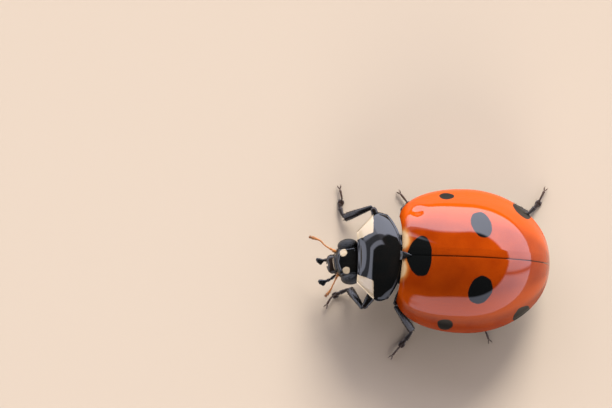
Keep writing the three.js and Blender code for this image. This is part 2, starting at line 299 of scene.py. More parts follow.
def feed(tree: NodeTree, socket: NodeSocket, value: object) -> None:
    """Links a number or a socket to an input.

    Args:
        tree: The node tree.
        socket: The input.
        value: A Num, a socket, or a plain value to set it to.
    """
    if isinstance(value, Num):
        tree.links.new(value.socket, socket)
    elif isinstance(value, NodeSocket):
        tree.links.new(value, socket)
    else:
        socket.default_value = value


def add_node(tree: NodeTree, kind: str, **inputs: object) -> Node:
    """Adds a node and feeds its inputs.

    Args:
        tree: The node tree.
        kind: The node's type name.
        inputs: Values by input name, with _ for a space.

    Returns:
        The node.
    """
    node = tree.nodes.new(kind)
    for name, value in inputs.items():
        feed(tree, node.inputs[name.replace("_", " ")], value)
    return node


def split(tree: NodeTree, vector: NodeSocket) -> tuple[Num, Num, Num]:
    """The x, y and z of a vector socket."""
    node = add_node(tree, "ShaderNodeSeparateXYZ", Vector=vector)
    return Num(tree, node.outputs["X"]), Num(tree, node.outputs["Y"]), Num(tree, node.outputs["Z"])


def joined(tree: NodeTree, *parts: "Num | float") -> NodeSocket:
    """A vector socket of three numbers."""
    return add_node(tree, "ShaderNodeCombineXYZ", X=parts[0], Y=parts[1], Z=parts[2]).outputs["Vector"]


# ---- finishes


Ink = Triple

DEEP_ORANGE: Ink = (0.150, 0.0155, 0.0005)
WARM_ORANGE: Ink = (0.205, 0.0260, 0.0008)
# Painted light: a lighter orange that stands in for the light falling on the wing cases' flanks.
PAINTED_LIGHT_ORANGE: Ink = (0.30, 0.041, 0.0016)
RUST: Ink = (0.030, 0.0040, 0.0008)
PITCH: Ink = (0.0030, 0.0032, 0.0030)
PITCH_BROWN: Ink = (0.012, 0.0070, 0.0045)
CREAM: Ink = (0.34, 0.265, 0.175)
WARM_CREAM: Ink = (0.34, 0.225, 0.115)
HONEY: Ink = (0.355, 0.150, 0.030)
AMBER: Ink = (0.26, 0.095, 0.020)
HORN: Ink = (0.045, 0.020, 0.009)
GREY_HAIR: Ink = (0.20, 0.18, 0.15)
GOLD_HAIR: Ink = (0.27, 0.18, 0.085)


@dataclass(frozen=True)
class Place:
    """Where a material is being drawn: a vector in mm in one seat, and its parts."""

    vector: NodeSocket
    x: Num
    y: Num
    z: Num


class Paint:
    """The node tree of one material, with the patterns that the finishes draw on it."""

    def __init__(self, name: str) -> None:
        """Starts an empty material with its shader and output."""
        self.material = bpy.data.materials.new(name)
        self.material.use_nodes = True
        self.tree = self.material.node_tree
        self.tree.nodes.clear()
        self.shader = self.tree.nodes.new("ShaderNodeBsdfPrincipled")
        output = self.tree.nodes.new("ShaderNodeOutputMaterial")
        self.tree.links.new(self.shader.outputs["BSDF"], output.inputs["Surface"])

    def place(self, seat: Seat) -> Place:
        """The point being drawn, in mm in a seat.

        Args:
            seat: The seat whose frame is wanted.

        Returns:
            The place.
        """
        source = self.tree.nodes.new("ShaderNodeTexCoord").outputs["Object"]
        back = seat.to_row().inverted()
        place = {"Location": back.to_translation(), "Rotation": back.to_3x3().normalized().to_euler("XYZ")}
        node = add_node(self.tree, "ShaderNodeMapping", Vector=source, **place, Scale=(1.0 / MM,) * 3)
        vector = node.outputs["Vector"]
        return Place(vector, *split(self.tree, vector))

    def attribute(self, name: str) -> Num:
        """A number stored on the mesh."""
        node = self.tree.nodes.new("ShaderNodeAttribute")
        node.attribute_name = name
        return Num(self.tree, node.outputs["Fac"])

    def noise(self, place: Place, per_mm: float, detail: float = 2.0) -> Num:
        """Cloudy noise, of so many clouds to a mm: a number round 0, from about -0.5 to 0.5."""
        node = add_node(self.tree, "ShaderNodeTexNoise", Vector=place.vector, Scale=per_mm, Detail=detail)
        return Num(self.tree, node.outputs["Fac"]) - 0.5

    def pits(self, place: Place, per_mm: float, width: float) -> Num:
        """Scattered round pits, 0 in their middle and 1 between them; width is a share of their spacing."""
        node = add_node(self.tree, "ShaderNodeTexVoronoi", Vector=place.vector, Scale=per_mm)
        return Num(self.tree, node.outputs["Distance"]).ease(0.0, width)

    def blend(self, mask: Num, below: "Ink | NodeSocket", above: Ink) -> NodeSocket:
        """Lays one colour over another.

        Args:
            mask: 1 where the upper colour shows.
            below: The lower colour, or a socket of one.
            above: The upper colour.

        Returns:
            The mixed colour's socket.
        """
        node = self.tree.nodes.new("ShaderNodeMix")
        node.data_type = "RGBA"
        feed(self.tree, node.inputs[0], mask)
        for slot, colour in ((node.inputs[6], below), (node.inputs[7], above)):
            feed(self.tree, slot, (*colour, 1.0) if isinstance(colour, tuple) else colour)
        return node.outputs[2]

    def bump(self, *layers: tuple[Num, float]) -> None:
        """Raises the surface by layers of height.

        Args:
            layers: Pairs of a height field and the depth in mm that one unit of it stands for.
        """
        below = None
        for height, depth in layers:
            node = add_node(self.tree, "ShaderNodeBump", Height=height, Strength=1.0, Distance=depth * MM)
            if below is not None:
                self.tree.links.new(below, node.inputs["Normal"])
            below = node.outputs["Normal"]
        self.tree.links.new(below, self.shader.inputs["Normal"])

    def colour(self, ink: "NodeSocket | Ink") -> None:
        """Sets the base colour."""
        feed(self.tree, self.shader.inputs["Base Color"], (*ink, 1.0) if isinstance(ink, tuple) else ink)

    def gloss(self, roughness: "Num | float", coat: float = 0.0, coat_roughness: float = 0.05) -> None:
        """Sets the surface's gloss and its clear layer, which takes over the mirroring."""
        feed(self.tree, self.shader.inputs["Roughness"], roughness)
        self.shader.inputs["Specular IOR Level"].default_value = 0.5 * (1.0 - coat)
        self.shader.inputs["Coat Weight"].default_value = coat
        self.shader.inputs["Coat Roughness"].default_value = coat_roughness


@dataclass(frozen=True)
class Spot:
    """An oval mark on a surface, seen from above in its seat.

    Attributes:
        turn: Degrees that its axes are turned.
        taper: How much narrower it is at its front end, as a share.
        above: The z that it shows above, or None for everywhere.
    """

    at: Pair
    half: Pair
    turn: float = 0.0
    taper: float = 0.0
    above: float | None = None

    def mask(self, place: Place, wobble: Num, edge: float) -> Num:
        """Draws the mark.

        Args:
            place: Where it is drawn.
            wobble: What makes its edge uneven, in mm.
            edge: Half the width in mm over which it fades.

        Returns:
            1 on the mark and 0 off it.
        """
        across, along = place.x - self.at[0], place.y - self.at[1]
        c, s = math.cos(math.radians(self.turn)), math.sin(math.radians(self.turn))
        own_x, own_y = across * c + along * s, along * c - across * s
        share = own_y / self.half[1]
        wide = own_x / ((share * self.taper + 1.0) * self.half[0]).most(0.01)
        reach = (wide * wide + share * share).root()
        mean = (self.half[0] * self.half[1]) ** 0.5
        shown = ((reach - 1.0) * mean + wobble).ease(edge, -edge)
        return shown if self.above is None else shown * (place.z - self.above).ease(-edge, edge)


@dataclass(frozen=True)
class WingFinish:
    """The lacquer-like orange of a wing case, with its black spots and the pale mark at its base.

    Attributes:
        edge, base_edge, base_glow: Half widths in mm over which a spot, a mark's cream and its honey fade.
        base_inset: How far the cream stays inside the honey, in mm.
        wobble: How uneven all their edges are, in mm.
        flank_arch, flank_painted_light: Where on the arch the flanks' painted light, a lighter orange for the
            light that falls on them, sets in, and its strength.
        left_x, left_arch: Where, in mm from the suture and on the arch, the left case loses it, so that its
            outer flank stays darker, as painted shade.
        dull_front, dull_roughness: Stations between which the front gains its gloss, and what it lacks there.
        rim_arch, rim_polish: Where the clear layer has its full weight, and its weight at the margin.
    """

    spots: tuple[Spot, ...]
    base_marks: tuple[Spot, ...]
    edge: float = 0.016
    base_edge: float = 0.07
    base_glow: float = 0.17
    base_inset: float = 0.045
    wobble: float = 0.1
    suture_line: float = 0.036
    suture_fade: float = 0.3
    suture_rust: float = 0.9
    # How strongly the margin's bead and the rim's underside are drawn darker brown.
    margin_darkening: float = 0.75
    # Painted light: where and how strongly the flanks take the lighter orange that stands in for light on
    # them.
    flank_arch: Pair = (1.05, 0.70)
    flank_painted_light: float = 0.9
    left_x: Pair = (0.4, 1.1)
    left_arch: Pair = (0.62, 0.42)
    roughness: float = 0.16
    lacquer_roughness: float = 0.035
    dull_front: Pair = (-2.30, -2.08)
    dull_roughness: float = 0.4
    rim_arch: Pair = (0.28, 0.55)
    rim_polish: float = 0.35

    def material(self) -> Material:
        """Builds the material.

        Returns:
            The material, which serves both wing cases.
        """
        paint = Paint("wing_case_lacquer")
        at = paint.place(WING_SEAT)
        wave = paint.noise(at, 2.6, 1.0) * self.wobble
        cloud = paint.noise(at, 1.1, 3.0)
        grain = paint.noise(at, 26.0, 2.0)
        shell = paint.blend((cloud * 1.6 + grain * 0.5 + 0.5).ease(0.0, 1.0), DEEP_ORANGE, WARM_ORANGE)
        arch = paint.attribute("arch")
        # Painted light: the flanks are drawn in a lighter orange that stands in for the light falling there,
        # except the left case's outer flank, which keeps the deeper orange as painted shade.
        left_unlit_flank = at.x.ease(*self.left_x) * arch.ease(*self.left_arch)
        flank = arch.ease(*self.flank_arch) * left_unlit_flank.from_one()
        shell = paint.blend(flank * self.flank_painted_light, shell, PAINTED_LIGHT_ORANGE)
        suture = at.x.size().ease(self.suture_line, self.suture_line * self.suture_fade)
        shell = paint.blend(suture * self.suture_rust, shell, RUST)
        # Darker brown along the margin's bead and the underside of the rim.
        shell = paint.blend(paint.attribute("margin") * self.margin_darkening, shell, RUST)
        for mark in self.base_marks:
            shell = paint.blend(mark.mask(at, wave, self.base_glow), shell, HONEY)
            shell = paint.blend(mark.mask(at, wave + self.base_inset, self.base_edge), shell, WARM_CREAM)
        black = None
        for spot in self.spots:
            mask = spot.mask(at, wave, self.edge)
            black = mask if black is None else black.most(mask)
        shell = paint.blend(black, shell, PITCH)
        paint.colour(shell)
        front = at.y.ease(*self.dull_front)
        worn = cloud * 0.05 + grain * 0.04 + front.from_one() * self.dull_roughness
        paint.gloss(worn + self.roughness, 1.0, self.lacquer_roughness)
        polish = (arch.ease(*self.rim_arch) * (1.0 - self.rim_polish) + self.rim_polish) * front
        feed(paint.tree, paint.shader.inputs["Coat Weight"], polish)
        paint.bump((paint.noise(at, 0.9, 2.0), 0.035), (paint.pits(at, 8.0, 0.35), 0.0011), (grain, 0.0008))
        return paint.material


@dataclass(frozen=True)
class ShellFinish:
    """Black polished shell, with cream marks where it has them.

    Attributes:
        seat: The seat its pattern is drawn in.
        pits_per_mm: How fine its punctures are.
        edge: Half the width in mm over which a cream mark fades.
        wobble: How uneven the marks' edges are, in mm.
    """

    name: str
    seat: Seat = BODY_SEAT
    marks: "tuple[Spot | CornerMark, ...]" = ()
    colour: Ink = PITCH
    pits_per_mm: float = 9.0
    pit_depth: float = 0.0016
    roughness: float = 0.2
    coat: float = 1.0
    coat_roughness: float = 0.05
    edge: float = 0.014
    wobble: float = 0.08

    def material(self) -> Material:
        """Builds the material.

        Returns:
            The material.
        """
        paint = Paint(self.name)
        at = paint.place(self.seat)
        cloud = paint.noise(at, 1.7, 3.0)
        brown = (cloud * 2.0 + 0.35).ease(0.0, 1.2)
        shell = paint.blend(brown * 0.35, self.colour, PITCH_BROWN)
        wave = paint.noise(at, 5.0, 1.0) * self.wobble
        for mark in self.marks:
            shell = paint.blend(mark.mask(at, wave, self.edge), shell, CREAM)
        paint.colour(shell)
        paint.gloss(cloud * 0.08 + self.roughness, self.coat, self.coat_roughness)
        paint.bump(
            (paint.pits(at, self.pits_per_mm, 0.4), self.pit_depth),
            (paint.noise(at, 30.0, 2.0), self.pit_depth * 0.5),
        )
        return paint.material


@dataclass(frozen=True)
class HornFinish:
    """Plain horn: legs, feelers, mouthparts, claws and hairs.

    Attributes:
        low, high: The ends of its colour.
        fades: Where on the piece's "along" attribute low starts to turn to high, and where it has.
    """

    name: str
    low: Ink
    high: Ink
    roughness: float = 0.35
    grain_per_mm: float = 24.0
    grain_depth: float = 0.002
    fades: Pair | None = None
    coat: float = 0.25
    coat_roughness: float = 0.2

    def material(self) -> Material:
        """Builds the material.

        Returns:
            The material.
        """
        paint = Paint(self.name)
        at = paint.place(BODY_SEAT)
        grain = paint.noise(at, self.grain_per_mm, 3.0)
        share = (grain * 1.4 + 0.5).ease(0.0, 1.0)
        if self.fades:
            share = (paint.attribute("along") + grain * 0.4).ease(*self.fades)
        paint.colour(paint.blend(share, self.low, self.high))
        paint.gloss(grain * 0.2 + self.roughness, self.coat, self.coat_roughness)
        paint.bump((grain, self.grain_depth))
        return paint.material


# ---- meshes


class Clay:
    """The points and faces of one piece, in mm, gathered from grids."""

    def __init__(self) -> None:
        """Starts with nothing."""
        self.points: list[Array] = []
        self.faces: list[tuple[int, ...]] = []
        self.tags: list[int] = []
        self.along: list[Array] = []
        self.count = 0

    def grid(self, points: Array, wrap: bool = True, tag: int = 0, along: Array | float = 0.0) -> None:
        """Adds a grid of quads.

        Args:
            points: Rows by columns by 3.
            wrap: Whether the last column joins the first.
            tag: The faces' place in the piece's list of materials.
            along: A share that finishes and hairs read: one for all, one for each row, or one for each point.
        """
        rows, columns = points.shape[:2]
        index = self.count + np.arange(rows * columns).reshape(rows, columns)
        if wrap:
            index = np.hstack([index, index[:, :1]])
        quads = np.stack([index[:-1, :-1], index[:-1, 1:], index[1:, 1:], index[1:, :-1]], axis=-1)
        self.points.append(points.reshape(-1, 3))
        self.faces += [tuple(q) for q in quads.reshape(-1, 4).tolist()]
        self.tags += [tag] * (quads.shape[0] * quads.shape[1])
        share = np.asarray(along, float)
        share = share[:, None] if share.ndim == 1 else share
        self.along.append(np.broadcast_to(share, (rows, columns)).ravel())
        self.count += rows * columns

    def sheet(self, outer: Array, inner: Array) -> None:
        """Adds a plate of two grids that meet all round their edges."""
        for face in (outer, inner):
            self.grid(face, wrap=False)

    def mesh(self, name: str) -> Mesh:
        """Welds what was gathered and turns its faces outwards.

        Args:
            name: The mesh's name.

        Returns:
            The mesh, in mm.
        """
        mesh = bpy.data.meshes.new(name)
        mesh.from_pydata(np.vstack(self.points).tolist(), [], self.faces)
        mesh.polygons.foreach_set("material_index", self.tags)
        share = mesh.attributes.new("along", "FLOAT", "POINT")
        share.data.foreach_set("value", np.concatenate(self.along).astype(np.float32))
        turn_out(mesh)
        return mesh


def turn_out(mesh: Mesh) -> None:
    """Welds a mesh's doubles, drops its empty faces and turns the rest outwards."""
    work = bmesh.new()
    work.from_mesh(mesh)
    bmesh.ops.remove_doubles(work, verts=work.verts, dist=WELD)
    bmesh.ops.dissolve_degenerate(work, edges=work.edges, dist=WELD * 0.1)
    bmesh.ops.recalc_face_normals(work, faces=work.faces)
    work.to_mesh(mesh)
    work.free()


def facing(grid: Array) -> Array:
    """The unit normals of a grid of points, on the side where rows cross columns."""
    return unit(np.cross(np.gradient(grid, axis=1), np.gradient(grid, axis=0)))


def loft(path: Array, wide: Array, deep: Array, sides: int = 24) -> Array:
    """A tube of oval sections along a path.

    Args:
        path: The centre line.
        wide: Half width at each place.
        deep: Half depth at each place, upwards.
        sides: How many points a section has.

    Returns:
        Sections by sides by 3, to be wrapped.
    """
    ahead = unit(np.gradient(path, axis=0))
    side = beside(ahead)
    lift = np.cross(side, ahead)
    angle = turns(sides)
    across = side[:, None] * (wide[:, None] * np.cos(angle))[..., None]
    above = lift[:, None] * (deep[:, None] * np.sin(angle))[..., None]
    return path[:, None] + across + above


def ball(at: Triple, radii: Triple, rings: int = 24, sides: int = 32, full: float = 1.0) -> Array:
    """A stretched ball as a grid to be wrapped.

    Args:
        at: Its middle.
        radii: Its half sizes.
        rings: How many rings it has.
        sides: How many points a ring has.
        full: A power under 1 that fills its corners.

    Returns:
        Rings by sides by 3.
    """
    polar = np.linspace(0.0, math.pi, rings)[:, None]
    turn = turns(sides)[None]
    shape = [np.sin(polar) * np.cos(turn), np.cos(polar) + 0.0 * turn, np.sin(polar) * np.sin(turn)]
    return np.stack([at[i] + radii[i] * filled(shape[i], full) for i in range(3)], axis=-1)


class Cast:
    """Places finished meshes in the row's frame and hides the CAD parts that they replace."""

    @staticmethod
    def place(
        name: str,
        mesh: Mesh,
        materials: Sequence[Material],
        seat: Seat = BODY_SEAT,
        stands_for: Sequence[str] = (),
        slot: str | None = None,
    ) -> None:
        """Makes a piece of a mesh.

        Args:
            name: The piece's name.
            mesh: Its mesh, in mm in its seat.
            materials: Its materials, in the order of the mesh's tags.
            seat: The seat it was built in.
            stands_for: The CAD nodes that it replaces.
            slot: The record's material slot, or None; not used.
        """
        mesh.transform(seat.to_row())
        mesh.materials.clear()
        for material in materials:
            mesh.materials.append(material)
        mesh.shade_smooth()
        mesh.set_sharp_from_angle(angle=SHARP_FROM)
        mesh.name = name
        piece = bpy.data.objects.new(name, mesh)
        bpy.context.scene.collection.objects.link(piece)
        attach(piece, "root")
        if stands_for:
            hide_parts(*stands_for)
        log.info("%s: %d faces", name, len(mesh.polygons))


# ---- geometry nodes


class Recipe:
    """A Geometry Nodes tree with named inputs, cooked into plain meshes."""

    def __init__(self, name: str) -> None:
        """Starts a tree that takes in and gives out geometry."""
        self.tree = bpy.data.node_groups.new(name, "GeometryNodeTree")
        self.tree.interface.new_socket("Geometry", in_out="INPUT", socket_type="NodeSocketGeometry")
        self.tree.interface.new_socket("Geometry", in_out="OUTPUT", socket_type="NodeSocketGeometry")
        self.inlet = self.tree.nodes.new("NodeGroupInput")
        self.outlet = self.tree.nodes.new("NodeGroupOutput")

    def number(self, name: str, value: float) -> Num:
        """Adds a named number to the tree's inputs."""
        socket = self.tree.interface.new_socket(name, in_out="INPUT", socket_type="NodeSocketFloat")
        socket.default_value = value
        return Num(self.tree, self.inlet.outputs[name])

    def whole(self, name: str, value: int) -> NodeSocket:
        """Adds a named whole number to the tree's inputs."""
        socket = self.tree.interface.new_socket(name, in_out="INPUT", socket_type="NodeSocketInt")
        socket.default_value = value
        return self.inlet.outputs[name]

    def stuff(self, name: str) -> NodeSocket:
        """Adds a named material to the tree's inputs."""
        self.tree.interface.new_socket(name, in_out="INPUT", socket_type="NodeSocketMaterial")
        return self.inlet.outputs[name]

    def geometry(self) -> NodeSocket:
        """The geometry that the tree is given."""
        return self.inlet.outputs["Geometry"]

    def attribute(self, name: str, kind: str = "FLOAT") -> NodeSocket:
        """A named attribute of the geometry."""
        node = self.tree.nodes.new("GeometryNodeInputNamedAttribute")
        node.data_type = kind
        node.inputs["Name"].default_value = name
        return node.outputs["Attribute"]

    def position(self) -> tuple[Num, Num, Num]:
        """The x, y and z of each point, at the place in the tree where they are used."""
        return split(self.tree, self.tree.nodes.new("GeometryNodeInputPosition").outputs[0])

    def moved(self, geometry: NodeSocket, *place: Num) -> NodeSocket:
        """The geometry with its points set to an x, y and z."""
        to = joined(self.tree, *place)
        return add_node(self.tree, "GeometryNodeSetPosition", Geometry=geometry, Position=to).outputs[0]

    def aimed(self, way: NodeSocket) -> NodeSocket:
        """The rotation that turns Z to a way."""
        node = add_node(self.tree, "FunctionNodeAlignRotationToVector", Vector=way)
        node.axis = "Z"
        return node.outputs["Rotation"]

    def keep(self, geometry: NodeSocket, name: str, value: Num) -> NodeSocket:
        """Stores a number on the geometry's points.

        Args:
            geometry: The geometry.
            name: The attribute's name.
            value: The number.

        Returns:
            The geometry with it.
        """
        node = add_node(self.tree, "GeometryNodeStoreNamedAttribute", Geometry=geometry, Name=name)
        node.data_type, node.domain = "FLOAT", "POINT"
        feed(self.tree, node.inputs["Value"], value)
        return node.outputs["Geometry"]

    def serve(self, geometry: NodeSocket, material: NodeSocket) -> None:
        """Ends the tree: instances made real, then the material set.

        Args:
            geometry: What the tree has made.
            material: The material's socket.
        """
        real = add_node(self.tree, "GeometryNodeRealizeInstances", Geometry=geometry)
        dressed = add_node(self.tree, "GeometryNodeSetMaterial", Geometry=real.outputs[0], Material=material)
        self.tree.links.new(dressed.outputs[0], self.outlet.inputs["Geometry"])

    def cook(self, name: str, start: Mesh, **values: object) -> Mesh:
        """Runs the tree on a mesh.

        Args:
            name: The result's name.
            start: The mesh it starts from.
            values: The tree's inputs by name, with _ for a space.

        Returns:
            The result as a plain mesh.
        """
        worker = bpy.data.objects.new(name + "_worker", start)
        bpy.context.scene.collection.objects.link(worker)
        modifier = worker.modifiers.new("recipe", "NODES")
        modifier.node_group = self.tree
        for item in self.tree.interface.items_tree:
            key = item.name.replace(" ", "_")
            if item.in_out == "INPUT" and key in values:
                modifier[item.identifier] = values[key]
        graph = bpy.context.evaluated_depsgraph_get()
        made = bpy.data.meshes.new_from_object(worker.evaluated_get(graph), depsgraph=graph)
        worker.modifiers.remove(modifier)
        bpy.data.objects.remove(worker)
        made.name = name
        return made


def seed_mesh(points: Sequence[Triple] = ((0.0, 0.0, 0.0),), **attributes: Array) -> Mesh:
    """A mesh of loose points that carry attributes.

    Args:
        points: The points.
        attributes: A row of values for each point, numbers or vectors, by name.

    Returns:
        The mesh.
    """
    mesh = bpy.data.meshes.new("seeds")
    mesh.from_pydata([tuple(map(float, p)) for p in points], [], [])
    for name, values in attributes.items():
        rows = np.asarray(values, np.float32)
        vectors = rows.ndim == 2
        held = mesh.attributes.new(name, "FLOAT_VECTOR" if vectors else "FLOAT", "POINT")
        held.data.foreach_set("vector" if vectors else "value", rows.ravel())
    return mesh


def one_mesh(name: str, *parts: tuple[Mesh, int | None]) -> Mesh:
    """Joins meshes.

    Args:
        name: The result's name.
        parts: Each mesh with the tag that its faces get, or with None where they keep their own.

    Returns:
        The joined mesh.
    """
    work = bmesh.new()
    for mesh, tag in parts:
        before = len(work.faces)
        work.from_mesh(mesh)
        work.faces.ensure_lookup_table()
        if tag is not None:
            for face in work.faces[before:]:
                face.material_index = tag
    made = bpy.data.meshes.new(name)
    work.to_mesh(made)
    work.free()
    return made


@dataclass(frozen=True)
class Coat:
    """Short hairs that grow from a surface, as thin cones of solid mesh.

    Attributes:
        density: Hairs to a square mm.
        flow: Which way the hairs lie.
        lean: How far they lie over, from 0, upright, to 1.
        spread: How much their number follows the surface's "along" attribute, from 0 to 1.
        thickness: A hair's half thickness at its root.
    """

    SIDES: ClassVar[int] = 3  # a hair's faces, few because there are thousands of hairs
    STRAY: ClassVar[float] = 0.22  # how far a hair's way strays from the flow
    GROWTH: ClassVar[Pair] = (0.6, 1.2)  # the shortest and the longest hair, as shares of the length

    density: float
    length: float
    flow: Triple
    seed: int
    lean: float = 0.65
    spread: float = 0.0
    thickness: float = 0.0045

    @staticmethod
    @functools.cache
    def recipe() -> Recipe:
        """Builds the tree: points scattered on faces, and a leaning cone on each.

        Returns:
            The recipe, made once.
        """
        made = Recipe("hairs on a surface")
        tree, stray = made.tree, Coat.STRAY
        density, length = made.number("Density", 40.0), made.number("Length", 0.08)
        thick, lean = made.number("Thickness", 0.005), made.number("Lean", 0.65)
        flow = [made.number(f"Flow {axis}", 0.0) for axis in "XYZ"]
        spread = made.number("Spread", 0.0)
        seed = made.whole("Seed", 1)
        stuff = made.stuff("Finish")
        share = spread * Num(tree, made.attribute("along")) + spread.from_one()
        scatter = add_node(
            tree,
            "GeometryNodeDistributePointsOnFaces",
            Mesh=made.geometry(),
            Density=density * share,
            Seed=seed,
        )
        cone = add_node(
            tree,
            "GeometryNodeMeshCone",
            Vertices=Coat.SIDES,
            Radius_Top=0.0,
            Radius_Bottom=1.0,
            Depth=1.0,
            Side_Segments=1,
        )
        jitter = add_node(tree, "FunctionNodeRandomValue", Seed=seed)
        jitter.data_type = "FLOAT_VECTOR"
        jitter.inputs[0].default_value, jitter.inputs[1].default_value = (-stray,) * 3, (stray,) * 3
        normal, shift = split(tree, scatter.outputs["Normal"]), split(tree, jitter.outputs[0])
        way = joined(tree, *(n * lean.from_one() + f * lean + j for n, f, j in zip(normal, flow, shift)))
        size = add_node(tree, "FunctionNodeRandomValue", Seed=seed)
        size.inputs[2].default_value, size.inputs[3].default_value = Coat.GROWTH
        grown = Num(tree, size.outputs[1])
        planted = add_node(
            tree,
            "GeometryNodeInstanceOnPoints",
            Points=scatter.outputs["Points"],
            Instance=cone.outputs["Mesh"],
            Rotation=made.aimed(way),
            Scale=joined(tree, thick * grown, thick * grown, length * grown),
        )
        made.serve(planted.outputs["Instances"], stuff)
        return made

    def over(self, name: str, surface: Mesh, tag: int) -> Mesh:
        """Grows the hairs on a mesh.

        Args:
            name: The result's name.
            surface: The mesh, in mm.
            tag: The tag that the hairs' faces get.

        Returns:
            The mesh with its hairs.
        """
        way = Vector(self.flow).normalized()
        hairs = self.recipe().cook(
            "hairs",
            surface,
            Density=self.density,
            Length=self.length,
            Thickness=self.thickness,
            Lean=self.lean,
            Flow_X=way.x,
            Flow_Y=way.y,
            Flow_Z=way.z,
            Spread=self.spread,
            Seed=self.seed,
        )
        return one_mesh(name, (surface, None), (hairs, tag))


class Palette(Enum):
    """The finishes that several pieces share."""

    HAIR = HornFinish("pale_hair", GREY_HAIR, GOLD_HAIR, 0.45, 6.0, 0.0)
    SOLE = HornFinish("golden_hair", GOLD_HAIR, AMBER, 0.5, 6.0, 0.0)
    LIMB = HornFinish("leg_black", PITCH, PITCH_BROWN, 0.26, 20.0, 0.0025, (0.0, 1.0))
    FOOT = HornFinish("foot_brown", PITCH_BROWN, HORN, 0.34, 22.0, 0.002, (0.2, 1.0))
    CLAW = HornFinish("claw_horn", HORN, AMBER, 0.2, 14.0, 0.0005)

    @functools.cache
    def material(self) -> Material:
        """The finish's material, made once."""
        return self.value.material()


# ---- wing cases


